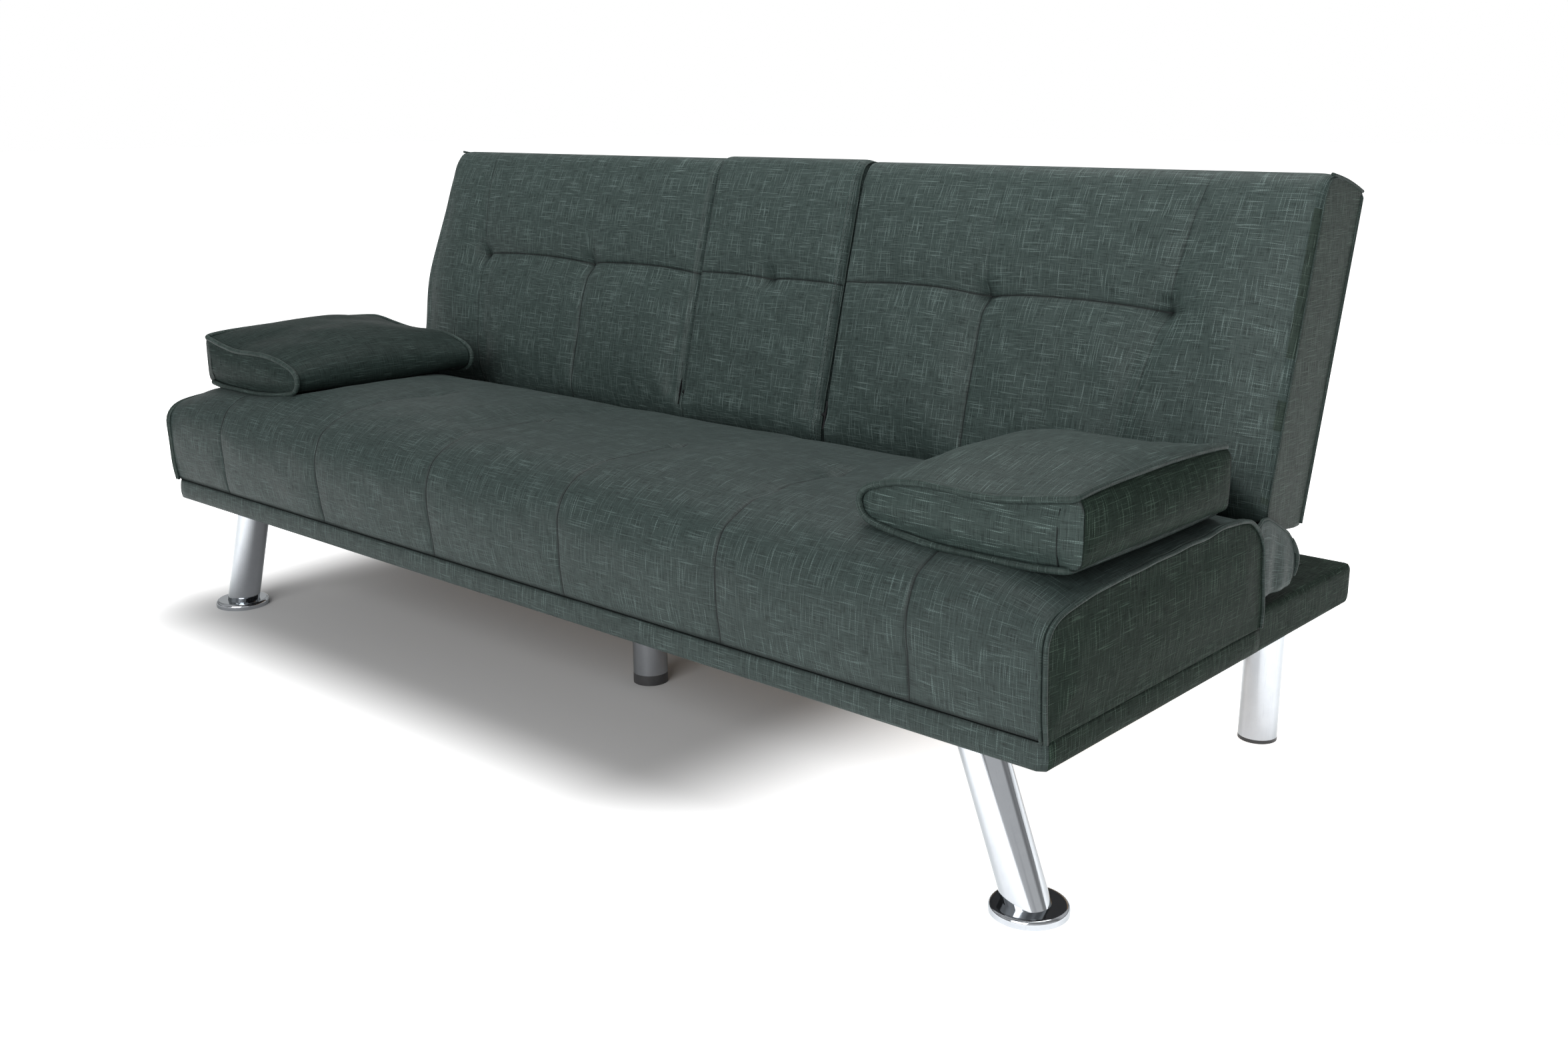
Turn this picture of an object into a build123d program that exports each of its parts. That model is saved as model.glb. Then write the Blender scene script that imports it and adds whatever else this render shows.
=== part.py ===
import os
from build123d import *

# Futon sofa bed with click-clack hinges, a fold-down centre console and two loose arm pillows.
# Millimetres. +X runs along the seat, +Y to the rear, +Z up. The origin is on the floor, at the
# middle of the box that the whole object fills.

# ---- driving dimensions ----
seat_width = 1670.0          # outside of the seat's side panels
seat_depth = 455.0           # front of the band to the rear of the seat
deck_depth = 266.0           # low platform behind the seat
front_bulge = 13.0           # how far the seat's padded front stands out past the band
underside = 189.0            # underside of the seat box above the floor
band_top = 220.0             # seam between the band and the seat cover
seat_crest = 384.0           # highest line of the seat cushion
seat_rear_top = 362.0        # top of the seat cushion near the backrest
seat_side_top = 348.0        # top of the seat's side panels
back_length = 407.0          # backrest cushion, bottom edge to top edge
back_half_width = 820.0
back_thickness = 119.0
back_proud = 10.0            # how far the cushion face stands in front of the edge line
cushion_round = 14.0
recline = 14.4               # backrest's lean from upright, degrees
console_half_width = 141.0
recess_half_width = 145.0
leg_diameter = 50.0
tube_wall = 1.5
foot_diameter = 85.0
foot_height = 10.0
skin = 2.0                   # thickness of the fabric covers

# ---- places worked out from them ----
seat_half = seat_width / 2
front_y = -(front_bulge + seat_depth + deck_depth) / 2 + front_bulge
rear_y = front_y + seat_depth
deck_rear_y = rear_y + deck_depth
back_foot_y = rear_y + 18.0  # lower front edge of the backrest
back_foot_z = 340.0

# The seat frame: boards on edge behind a padded band.
band_depth = 7.0
rail_thick = 22.0
frame_bottom = underside + 3.0
rail_top_z = 258.0
rail_out_x = seat_half - band_depth
rail_in_x = rail_out_x - rail_thick
rail_front_y = front_y + band_depth
rail_rear_y = rear_y - band_depth
foam_bottom = rail_top_z + 6.0
beam_half_width = 30.0
beam_top = 240.0
leg_block_in_x = 650.0
leg_block_top = 232.0
leg_block_half = 50.0

# The deck frame: boards laid flat with a plywood top.
deck_out_x = rail_out_x + 4.0
deck_rail_top = 234.0
deck_edge = 3.0              # cloth and padding on the deck's rear edge
deck_rail_thick = 25.0
deck_panel_thick = 2.5
deck_top = deck_rail_top + deck_panel_thick + skin

# The legs: middle of each tube where it meets the frame, and middle of each foot.
front_leg_y = front_y + 65.0
front_leg_top_x = 710.0
front_foot_x = 783.0
rear_leg_x = 755.0
rear_leg_y = front_y + 649.0
middle_leg_y = front_y + 268.0
plate_side = 90.0
plate_thick = 3.0
rear_cap_height = 5.0
middle_cap_height = 15.0
screw_reach = 32.0           # leg screws sit this far from the leg's middle, both ways

# The hinge, in a slot near each end of the backrest. "depth" is measured square to the cushion's
# face towards the rear, "rise" along the face from its lower edge.
pivot_depth = 34.0
pivot_rise = 9.8
pivot_radius = 6.0
back_arm_length = 130.0
running_gap = 0.05
arm_thick = 4.0
arm_width = 30.0
base_arm_in_x = rail_in_x - arm_thick
ratchet_thick = 4.0
flap_thick = 9.0
ratchet_radius = 20.0
ratchet_in_x = base_arm_in_x - 0.7 - ratchet_thick
back_arm_in_x = ratchet_in_x - arm_thick
bar_low_z = frame_bottom + 6.0
bar_high_z = bar_low_z + 20.0
slot_in_x = back_arm_in_x - 9.0
slot_out_x = base_arm_in_x + arm_thick + 6.0
slot_rise = pivot_rise + ratchet_radius + 4.0
slot_depth = pivot_depth - ratchet_radius - 4.0

# The backrest frame.
stile_thick = 25.0
stile_out_x = back_arm_in_x
stile_in_x = stile_out_x - stile_thick
inner_stile_in_x = recess_half_width + 5.0
inner_stile_out_x = inner_stile_in_x + rail_thick
stile_front = 20.0
rail_front = 82.0
rail_rear = 106.0
stile_foot = 40.0
back_rail_height = 50.0
stile_head = back_length - 4.0

# The console.
console_front = -6.0
console_rear = 76.0
console_head = back_length + 2.0
console_round = 12.0
heel_round = 25.0            # lower rear edge, which swings past the recess's lining
console_pin_depth = 8.0
console_pin_rise = 40.0
console_pin_radius = 4.0
board_front = 60.0
cup_x = 62.0
cup_rise = 300.0
cup_radius = 40.0
cup_wall = 2.0
cup_floor_depth = 26.0
cup_flange_radius = 46.0


def block(low_x, high_x, low_y, high_y, low_z, high_z):
    size = (high_x - low_x, high_y - low_y, high_z - low_z)
    middle = ((low_x + high_x) / 2, (low_y + high_y) / 2, (low_z + high_z) / 2)
    return Pos(*middle) * Box(*size)


def rod_x(radius, low_x, high_x, y, z):
    return Pos((low_x + high_x) / 2, y, z) * Rot(0, 90, 0) * Cylinder(radius, high_x - low_x)


def rod_y(radius, x, low_y, high_y, z):
    return Pos(x, (low_y + high_y) / 2, z) * Rot(90, 0, 0) * Cylinder(radius, high_y - low_y)


def rod_z(radius, x, y, low_z, high_z):
    return Pos(x, y, (low_z + high_z) / 2) * Cylinder(radius, high_z - low_z)


def other_side(shape):
    return mirror(shape, about=Plane.YZ)


def both_sides(shape):
    return Compound([*shape.solids(), *other_side(shape).solids()])


def lean(shape):
    # Backrest parts are drawn upright: Y is depth behind the face, Z is rise along it.
    return Pos(0, back_foot_y, back_foot_z) * Rot(-recline, 0, 0) * shape


def write(name, shape):
    export_step(shape, f"parts/{name}.step")


# ---- seat frame ----
def seat_end_rail():
    rail = block(rail_in_x, rail_out_x, rail_front_y, rail_rear_y, frame_bottom, rail_top_z)
    return rail - frame_bolts()


def seat_long_rail(low_y):
    return block(-rail_in_x, rail_in_x, low_y, low_y + rail_thick, frame_bottom, rail_top_z)


def seat_rear_rail():
    arm_slot = block(base_arm_in_x - 1, rail_in_x + 1, rail_rear_y - rail_thick - 1, rail_rear_y + 1,
                     bar_low_z - 1, bar_high_z + 1)
    return seat_long_rail(rail_rear_y - rail_thick) - arm_slot - other_side(arm_slot)


def seat_centre_beam():
    beam = block(-beam_half_width, beam_half_width, rail_front_y + rail_thick,
                 rail_rear_y - rail_thick, frame_bottom, beam_top)
    return beam - leg_screws()


def leg_blocks():
    front = block(leg_block_in_x, rail_in_x, rail_front_y + rail_thick, front_leg_y + leg_block_half,
                  frame_bottom, leg_block_top)
    rear = block(rear_leg_x - leg_block_half, rail_in_x, rear_leg_y - plate_side / 2,
                 deck_rear_y - deck_rail_thick, frame_bottom, leg_block_top)
    return both_sides(Compound([front - leg_screws(), rear - leg_screws()]))


# ---- springs ----
spring_count = 6
spring_bends = 12
spring_wire = 1.6
spring_half_width = 20.0
spring_z = rail_top_z + spring_wire
spring_spacing = 260.0
spring_lap = 8.0             # length of wire lying over each rail


def spring_x(index):
    return (index - (spring_count - 1) / 2) * spring_spacing


def zigzag_spring(x):
    start_y = rail_front_y + rail_thick - spring_lap
    end_y = rail_rear_y - rail_thick + spring_lap
    pitch = (end_y - start_y) / (spring_bends + 1)
    lead = pitch / 2
    path = [Line((0, start_y), (0, start_y + lead))]
    y = start_y + lead
    side = 1
    path.append(Line((0, y), (side * spring_half_width, y)))
    for index in range(spring_bends):
        x_now = side * spring_half_width
        bulge = x_now + side * pitch / 2
        path.append(ThreePointArc((x_now, y), (bulge, y + pitch / 2), (x_now, y + pitch)))
        y = y + pitch
        side = -side
        last = index == spring_bends - 1
        path.append(Line((x_now, y), (0 if last else side * spring_half_width, y)))
    path.append(Line((0, y), (0, end_y)))
    flat = Wire([edge for piece in path for edge in piece.edges()])
    corners = flat.vertices().filter_by_position(Axis.X, -0.01, 0.01)
    inner = [v for v in corners if start_y + 1 < v.Y < end_y - 1]
    flat = flat.fillet_2d(4.0, inner)
    section = Plane(origin=(0, start_y, 0), z_dir=(0, 1, 0)) * Circle(spring_wire)
    return Pos(x, 0, spring_z) * sweep(section, path=flat)


def seat_springs():
    return Compound([solid for index in range(spring_count)
                     for solid in zigzag_spring(spring_x(index)).solids()])


def spring_clip(x, y):
    clip = block(x - 9, x + 9, y - 6, y + 6, rail_top_z, rail_top_z + 5)
    return clip - block(x - 7, x + 7, y - 7, y + 7, rail_top_z - 1, rail_top_z + 3.6)


def spring_clips():
    front = rail_front_y + rail_thick - spring_lap
    rear = rail_rear_y - rail_thick + spring_lap
    return Compound([spring_clip(spring_x(index), y).solid()
                     for index in range(spring_count) for y in (front + 4, rear - 4)])


# ---- seat cushion ----
def seat_side_outline(inset, foot):
    nose_y = front_y - front_bulge + inset
    top = seat_crest - inset
    front = ThreePointArc((front_y + inset, foot), (nose_y + 2, 262), (nose_y, 305))
    roll = ThreePointArc((nose_y, 305), (nose_y + 21, 352 - inset), (front_y + 70, top))
    crest = Line((front_y + 70, top), (front_y + 210, top))
    fall = Line((front_y + 210, top), (rear_y - 34, seat_rear_top - inset))
    edge = ThreePointArc((rear_y - 34, seat_rear_top - inset), (rear_y - 10, 352 - inset),
                         (rear_y - inset, 326))
    rear = Line((rear_y - inset, 326), (rear_y - inset, foot))
    base = Line((rear_y - inset, foot), (front_y + inset, foot))
    return make_face([*front.edges(), *roll.edges(), *crest.edges(), *fall.edges(), *edge.edges(),
                      *rear.edges(), *base.edges()])


def seat_front_outline(inset, foot):
    half = seat_half - inset
    points = [(-half, foot), (-half, seat_side_top - inset), (-seat_half + 45, 368 - inset),
              (-560, seat_crest + 1 - inset), (560, seat_crest + 1 - inset),
              (seat_half - 45, 368 - inset), (half, seat_side_top - inset), (half, foot)]
    return make_face(Polyline(*points, close=True).edges())


def seat_body(inset, foot):
    along = extrude(Plane.YZ * seat_side_outline(inset, foot), amount=seat_half - inset, both=True)
    across = extrude(Plane.XZ * seat_front_outline(inset, foot), amount=600, both=True)
    return along & across


def seat_foam():
    frame_room = block(-rail_out_x, rail_out_x, rail_front_y, rail_rear_y, 0, foam_bottom)
    return seat_body(skin, band_top) - frame_room


def seat_cover():
    return seat_body(0, band_top) - seat_body(skin, band_top)


def seat_band():
    outer = block(-seat_half, seat_half, front_y, rear_y, underside, band_top)
    inner = block(-rail_out_x, rail_out_x, rail_front_y, rail_rear_y, 0, band_top + 1)
    arm_slot = block(base_arm_in_x - 1, rail_in_x + 1, rail_rear_y - 1, rear_y + 1,
                     bar_low_z - 1, bar_high_z + 1)
    return outer - inner - arm_slot - other_side(arm_slot)


def dust_cover():
    sheet = block(-rail_out_x + 1, rail_out_x - 1, rail_front_y + 1, rail_rear_y - 1,
                  frame_bottom - 1.0, frame_bottom)
    gap = plate_side / 2 + 1
    for x, y in ((front_leg_top_x, front_leg_y), (-front_leg_top_x, front_leg_y), (0, middle_leg_y)):
        sheet -= block(x - gap, x + gap, y - gap, y + gap, 0, 300)
    return sheet


# ---- deck behind the seat ----
def deck_side_rail():
    rail = block(rail_in_x, rail_out_x, rear_y, deck_rear_y - deck_edge, frame_bottom, deck_rail_top)
    return rail - frame_bolts()


def deck_rear_rail():
    return block(-rail_in_x, rail_in_x, deck_rear_y - deck_rail_thick, deck_rear_y - deck_edge,
                 frame_bottom, deck_rail_top)


def arm_slit():
    slit = block(base_arm_in_x - 1, rail_in_x, pivot_y() - arm_width / 2 - 1,
                 pivot_y() + arm_width / 2 + 1, 0, 300)
    return Compound([slit, other_side(slit).solid()])


def deck_panel():
    panel = block(-rail_out_x, rail_out_x, rear_y, deck_rear_y - deck_edge, deck_rail_top,
                  deck_rail_top + deck_panel_thick)
    return panel - arm_slit()


def deck_cover():
    outer = block(-deck_out_x, deck_out_x, rear_y, deck_rear_y, underside, deck_top)
    outer = fillet(outer.edges().filter_by(Axis.X).group_by(Axis.Y)[-1], 2.5)
    inner = block(-rail_out_x, rail_out_x, rear_y - 1, deck_rear_y - deck_edge, 0, deck_top - skin)
    return outer - inner - arm_slit()


# ---- legs ----
def tube(low_z, high_z):
    radius = leg_diameter / 2
    return rod_z(radius, 0, 0, low_z, high_z) - rod_z(radius - tube_wall, 0, 0, low_z - 1, high_z + 1)


def front_leg():
    rise = underside
    tilt = Vector(front_leg_top_x - front_foot_x, 0, rise).get_angle(Vector(0, 0, 1))
    slanted = Pos(front_foot_x, front_leg_y, 0) * Rot(0, -tilt, 0) * tube(-60, 320)
    slab = block(500, 1000, front_leg_y - 100, front_leg_y + 100, foot_height, underside)
    return slanted & slab


def front_foot():
    disc = Pos(front_foot_x, front_leg_y, foot_height / 2) * Cylinder(foot_diameter / 2, foot_height)
    rim = disc.edges().group_by(Axis.Z)[-1]
    return fillet(rim, 5.0)


def upright_leg(x, y, cap_height):
    return Pos(x, y, 0) * tube(cap_height, underside)


def leg_cap(x, y, cap_height):
    return rod_z(leg_diameter / 2, x, y, 0, cap_height)


leg_tops = [(front_leg_top_x, front_leg_y), (-front_leg_top_x, front_leg_y), (rear_leg_x, rear_leg_y),
            (-rear_leg_x, rear_leg_y), (0, middle_leg_y)]


def leg_plates():
    half = plate_side / 2
    plates = [block(x - half, x + half, y - half, y + half, underside, underside + plate_thick)
              for x, y in leg_tops]
    screws = leg_screws()
    return Compound([(plate - screws).solid() for plate in plates])


def leg_screw(x, y):
    shank = rod_z(3, x, y, underside - 0.01, underside + 22)
    head = rod_z(6, x, y, underside - 3, underside)
    return (shank + head).solid()


def leg_screws():
    screws = []
    for x, y in leg_tops:
        across = 20 if x == 0 else screw_reach
        for along in (-screw_reach, screw_reach):
            screws.append(leg_screw(x - across, y + along))
            screws.append(leg_screw(x + across, y + along))
    return Compound(screws)


# ---- click-clack hinges ----
def to_yz(depth, rise):
    place = lean(Pos(0, depth, rise) * Sphere(1)).center()
    return place.Y, place.Z


def pivot_y():
    return to_yz(pivot_depth, pivot_rise)[0]


def pivot_z():
    return to_yz(pivot_depth, pivot_rise)[1]


bolt_ys = [rail_rear_y - 110, rail_rear_y - 45, rear_y + 90, rear_y + 130]


def frame_bolt(y):
    z = (bar_low_z + bar_high_z) / 2
    shank = rod_x(4, base_arm_in_x - 0.01, rail_in_x + 18, y, z)
    return (shank + rod_x(7.5, base_arm_in_x - 5, base_arm_in_x, y, z)).solid()


def frame_bolts():
    return both_sides(Compound([frame_bolt(y) for y in bolt_ys]))


def hinge_base_arm():
    high_x = base_arm_in_x + arm_thick
    bar = block(base_arm_in_x, high_x, rail_rear_y - 130, rear_y + 145, bar_low_z, bar_high_z)
    half = arm_width / 2
    upright = block(base_arm_in_x, high_x, pivot_y() - half, pivot_y() + half, bar_low_z, pivot_z())
    eye = rod_x(half, base_arm_in_x, high_x, pivot_y(), pivot_z())
    return (bar + upright + eye) - pivot_bolt() - frame_bolts()


def pivot_bolt():
    y, z = pivot_y(), pivot_z()
    high_x = base_arm_in_x + arm_thick
    shaft = rod_x(pivot_radius, back_arm_in_x - 2, high_x + 0.01, y, z)
    head = rod_x(10, high_x, high_x + 4, y, z)
    collar = rod_x(9, back_arm_in_x - 7, back_arm_in_x - 1, y, z)
    return (shaft + head + collar).solid()


def back_arm():
    high_x = back_arm_in_x + arm_thick
    top = pivot_rise + back_arm_length
    half = arm_width / 2
    bar = block(back_arm_in_x, high_x, pivot_depth - half, pivot_depth + half, pivot_rise, top)
    eye = rod_x(ratchet_radius, back_arm_in_x, high_x, pivot_depth, pivot_rise)
    end = rod_x(half, back_arm_in_x, high_x, pivot_depth, top)
    hole = rod_x(pivot_radius + running_gap, 0, 1000, pivot_depth, pivot_rise)
    return lean((bar + eye + end) - hole)


def ratchet():
    drum = rod_x(ratchet_radius, ratchet_in_x, ratchet_in_x + ratchet_thick, pivot_depth, pivot_rise)
    hole = rod_x(pivot_radius + running_gap, 0, 1000, pivot_depth, pivot_rise)
    return lean(drum - hole)


def hinge_flap():
    outline = Polyline((rear_y + 1, 338), (rear_y + 14, 337), (rear_y + 54, 322), (rear_y + 90, 300),
                       (rear_y + 98, 286), (rear_y + 88, 262), (rear_y + 78, deck_top + 1),
                       (rear_y + 1, deck_top + 1), close=True)
    flap = extrude(Plane.YZ * make_face(outline.edges()), amount=flap_thick)
    return Pos(back_half_width + 4, 0, 0) * flap


# ---- backrest ----
def back_side_room():
    # Room in the cushion for the frame board, the hinge and the console's bracket, right side.
    stile = block(stile_in_x, stile_out_x, stile_front, 200, stile_foot, stile_head)
    rails = block(0, stile_in_x, rail_front, 200, -10, back_length + 10)
    inner = block(0, inner_stile_out_x, stile_front, 200, stile_foot, stile_head)
    arm = block(back_arm_in_x, slot_out_x - 6, pivot_depth - 16, pivot_depth + 16, 0, 160)
    bracket = block(0, inner_stile_in_x, console_front + 4, 64, 16, 64)
    return Compound([solid for shape in (stile, rails, inner, arm, bracket) for solid in shape.solids()])


def hinge_slot():
    return block(slot_in_x, slot_out_x, slot_depth, 200, -5, slot_rise)


def side_cushion(inset, rear):
    shape = block(recess_half_width + inset, back_half_width - inset, -back_proud + inset, rear,
                  inset, back_length - inset)
    front_edges = shape.edges().group_by(Axis.Y)[0]
    return fillet(front_edges, cushion_round - inset)


def back_foam():
    foam = side_cushion(skin, rail_rear)
    for room in back_side_room().solids():
        foam -= room
    return lean(foam - hinge_slot())


def back_cover():
    cover = side_cushion(0, rail_rear + 3)
    cover -= block(recess_half_width + skin, back_half_width - skin, 30, 200, skin, back_length - skin)
    cover -= side_cushion(skin, rail_rear)
    cover -= block(0, stile_in_x, rail_front, 200, skin, stile_head)
    cover -= block(0, inner_stile_in_x, console_front + 4, 64, 16, 64)
    return lean(cover - hinge_slot())


def back_rail(low, high):
    return lean(block(-stile_in_x, stile_in_x, rail_front, rail_rear, low, high))


def back_stile():
    return lean(block(stile_in_x, stile_out_x, stile_front, rail_rear, stile_foot, stile_head))


def back_inner_stiles():
    stile = lean(block(inner_stile_in_x, inner_stile_out_x, stile_front, rail_front, stile_foot, stile_head))
    return both_sides(stile)


def back_panel():
    return lean(block(-back_half_width + skin, back_half_width - skin, rail_rear, rail_rear + 3,
                      slot_rise + 1, stile_head))


def back_rear_cover():
    return lean(block(-back_half_width, back_half_width, rail_rear + 3, rail_rear + 5, slot_rise + 1,
                      back_length))


def recess_lining():
    return lean(block(-recess_half_width, recess_half_width, rail_front - 1.5, rail_front, 4, back_length - 2))


def console_bracket():
    plate = block(recess_half_width + skin + 0.2, inner_stile_in_x - 0.2, 0, 60, 20, 60)
    hole = rod_x(console_pin_radius + running_gap, 0, 300, console_pin_depth, console_pin_rise)
    return lean(plate - hole)


# ---- console ----
def console_body(inset, rear):
    shape = block(-console_half_width + inset, console_half_width - inset, console_front + inset, rear,
                  inset, console_head - inset)
    front_edges = shape.edges().group_by(Axis.Y)[0]
    shape = fillet(front_edges, console_round - inset)
    heel = shape.edges().filter_by(Axis.X).group_by(Axis.Z)[0].sort_by(Axis.Y)[-1]
    return fillet(heel, heel_round - inset)


def cup_rooms(radius, front):
    return Compound([rod_y(radius, x, front, 200, cup_rise).solid() for x in (-cup_x, cup_x)])


def console_rail():
    rail = block(-console_half_width + 4, console_half_width - 4, 2, board_front, 28, 52)
    return lean(rail - console_pins_upright())


def console_board():
    board = block(-console_half_width + skin, console_half_width - skin, board_front, console_rear - skin,
                  28, console_head - skin)
    return lean(board - cup_rooms(cup_radius + 0.3, 0))


def console_foam():
    foam = console_body(skin, board_front)
    foam -= block(-console_half_width + 4, console_half_width - 4, 2, board_front + 1, 28, 52)
    foam -= cup_rooms(cup_radius + 0.5, cup_floor_depth - 3)
    return lean(foam - console_pins_upright())


def console_cover():
    cover = console_body(0, console_rear)
    cover -= console_body(skin, console_rear - skin)
    cover -= cup_rooms(cup_radius + 0.3, board_front)
    return lean(cover - console_pins_upright())


def cup_holder(x):
    mouth = console_rear + 2
    cup = rod_y(cup_radius, x, cup_floor_depth, mouth, cup_rise)
    cup += rod_y(cup_flange_radius, x, console_rear, mouth, cup_rise)
    cup -= rod_y(cup_radius - cup_wall, x, cup_floor_depth + cup_wall, mouth + 1, cup_rise)
    return lean(cup)


def console_pins_upright():
    pin = rod_x(console_pin_radius, console_half_width - 45, inner_stile_in_x - 0.4, console_pin_depth,
                console_pin_rise)
    return both_sides(pin)


# ---- arm pillow ----
pillow_front_y = front_y + 52.0
pillow_rear_y = front_y + 392.0


def arm_pillow():
    base = Polyline((590, 386.5), (800, 371.5), (838, 373), (846, 444))
    top = ThreePointArc((846, 444), (700, 468), (588, 441))
    nose = ThreePointArc((588, 441), (550, 412), (590, 386.5))
    face = make_face([*base.edges(), *top.edges(), *nose.edges()])
    depth = pillow_rear_y - pillow_front_y
    return Pos(0, pillow_rear_y, 0) * extrude(Plane.XZ * face, amount=depth)


def main():
    os.makedirs("parts", exist_ok=True)
    write("seat_rail_front", seat_long_rail(rail_front_y))
    write("seat_rail_rear", seat_rear_rail())
    write("seat_centre_beam", seat_centre_beam())
    write("leg_blocks", leg_blocks())
    write("seat_springs", seat_springs())
    write("spring_clips", spring_clips())
    write("seat_foam", seat_foam())
    write("seat_cover", seat_cover())
    write("seat_band", seat_band())
    write("dust_cover", dust_cover())
    write("deck_rail_rear", deck_rear_rail())
    write("deck_panel", deck_panel())
    write("deck_cover", deck_cover())
    write("rear_leg_caps", both_sides(leg_cap(rear_leg_x, rear_leg_y, rear_cap_height)))
    write("middle_leg", upright_leg(0, middle_leg_y, middle_cap_height))
    write("middle_leg_cap", leg_cap(0, middle_leg_y, middle_cap_height))
    write("leg_plates", leg_plates())
    write("leg_screws", leg_screws())
    write("frame_bolts", frame_bolts())
    write("hinge_pivot_bolts", both_sides(pivot_bolt()))
    write("hinge_ratchets", both_sides(ratchet()))
    write("back_rail_top", back_rail(stile_head - back_rail_height, stile_head))
    write("back_rail_bottom", back_rail(stile_foot, stile_foot + back_rail_height))
    write("back_inner_stiles", back_inner_stiles())
    write("back_panel", back_panel())
    write("back_rear_cover", back_rear_cover())
    write("recess_lining", recess_lining())
    write("console_brackets", both_sides(console_bracket()))
    write("console_rail", console_rail())
    write("console_board", console_board())
    write("console_foam", console_foam())
    write("console_cover", console_cover())
    write("cup_holder_left", cup_holder(-cup_x))
    write("cup_holder_right", cup_holder(cup_x))
    write("console_pins", lean(console_pins_upright()))
    paired = {
        "seat_rail": seat_end_rail(),
        "deck_rail": deck_side_rail(),
        "front_leg": front_leg(),
        "front_foot": front_foot(),
        "rear_leg": upright_leg(rear_leg_x, rear_leg_y, rear_cap_height),
        "hinge_base_arm": hinge_base_arm(),
        "hinge_flap": hinge_flap(),
        "hinge_back_arm": back_arm(),
        "back_stile": back_stile(),
        "back_foam": back_foam(),
        "back_cover": back_cover(),
        "arm_pillow": arm_pillow(),
    }
    for name, shape in paired.items():
        write(f"{name}_right", shape)
        write(f"{name}_left", other_side(shape))


main()
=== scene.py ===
import math
import bpy
import bmesh
import numpy as np
from mathutils import Matrix, Vector


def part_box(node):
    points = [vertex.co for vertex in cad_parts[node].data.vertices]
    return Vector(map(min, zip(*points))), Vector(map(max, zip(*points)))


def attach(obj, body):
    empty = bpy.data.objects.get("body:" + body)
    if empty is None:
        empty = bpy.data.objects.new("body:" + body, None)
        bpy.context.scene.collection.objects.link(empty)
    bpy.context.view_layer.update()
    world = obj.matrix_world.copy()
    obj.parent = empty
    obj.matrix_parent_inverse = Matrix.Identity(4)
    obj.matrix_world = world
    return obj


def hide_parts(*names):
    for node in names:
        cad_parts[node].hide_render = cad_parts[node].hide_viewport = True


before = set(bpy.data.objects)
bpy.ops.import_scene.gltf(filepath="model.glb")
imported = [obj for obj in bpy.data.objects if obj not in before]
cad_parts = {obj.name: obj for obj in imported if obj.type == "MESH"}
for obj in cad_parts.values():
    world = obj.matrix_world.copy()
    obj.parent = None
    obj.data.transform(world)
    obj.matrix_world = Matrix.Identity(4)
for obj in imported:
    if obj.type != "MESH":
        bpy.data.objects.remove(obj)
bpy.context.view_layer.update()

# Futon sofa bed: linen seat and backrest, fold-down console, two arm pillows, chrome legs.
# Shapes are worked out in millimetres and turned into metres when a piece is made.
mm = 0.001
stage = bpy.context.scene


def boxOf(node):
    low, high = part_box(node)
    return np.array(low) / mm, np.array(high) / mm


def newForm():
    return {"points": [], "faces": [], "weave": [], "seam": [], "count": 0}


def addPoints(form, points, seam=None):
    flat = np.asarray(points, float).reshape(-1, 3)
    first = form["count"]
    form["points"].append(flat)
    form["seam"].append(np.zeros(len(flat)) if seam is None else np.asarray(seam, float).reshape(-1))
    form["count"] += len(flat)
    return first + np.arange(len(flat)).reshape(np.asarray(points).shape[:-1])


def addQuads(form, index, weave):
    # index: rows x columns of point numbers, weave: where each lies on the cloth, in mm
    corners = [index[:-1, :-1], index[1:, :-1], index[1:, 1:], index[:-1, 1:]]
    places = [weave[:-1, :-1], weave[1:, :-1], weave[1:, 1:], weave[:-1, 1:]]
    form["faces"].append(np.stack(corners, -1).reshape(-1, 4))
    form["weave"].append(np.stack(places, -2).reshape(-1, 4, 2))


def makeObject(name, form):
    points = np.concatenate(form["points"]) * mm
    faces, weave = [], []
    for face, places in zip(np.concatenate(form["faces"]).tolist(), np.concatenate(form["weave"]).tolist()):
        keep = [i for i in range(4) if face[i] != face[i - 1]]  # a collapsed quad becomes a triangle
        if len(keep) > 2:
            faces.append([face[i] for i in keep])
            weave.extend(places[i] for i in keep)
    mesh = bpy.data.meshes.new(name)
    mesh.from_pydata(points.tolist(), [], faces)
    layer = mesh.uv_layers.new(name="clothMap")
    layer.data.foreach_set("uv", (np.array(weave) * mm).astype(np.float32).reshape(-1))
    shade = mesh.attributes.new("seamShade", "FLOAT", "POINT")
    shade.data.foreach_set("value", np.concatenate(form["seam"]).astype(np.float32))
    work = bmesh.new()
    work.from_mesh(mesh)
    bmesh.ops.recalc_face_normals(work, faces=work.faces)
    work.to_mesh(mesh)
    work.free()
    mesh.polygons.foreach_set("use_smooth", [True] * len(mesh.polygons))
    made = bpy.data.objects.new(name, mesh)
    stage.collection.objects.link(made)
    return made


def finishObject(made, body, stands=()):
    if stands:
        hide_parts(*stands)
    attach(made, body)
    return made


def finishPiece(name, form, body, finish, stands=()):
    made = makeObject(name, form)
    made.data.materials.append(finish)
    return finishObject(made, body, stands)


def paintShadedSides(made, finish, facing, beyond):
    # faces that look sideways, out past a given distance, get a second linen, a copy painted darker as the shade
    # those sides are in
    made.data.materials.append(finish)
    for face in made.data.polygons:
        if abs(face.normal.x) > facing and abs(face.center.x) > beyond * mm:
            face.material_index = 1


def quarter(count):
    return [(math.sin(a), math.cos(a)) for a in np.linspace(0, math.pi / 2, count)]


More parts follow.
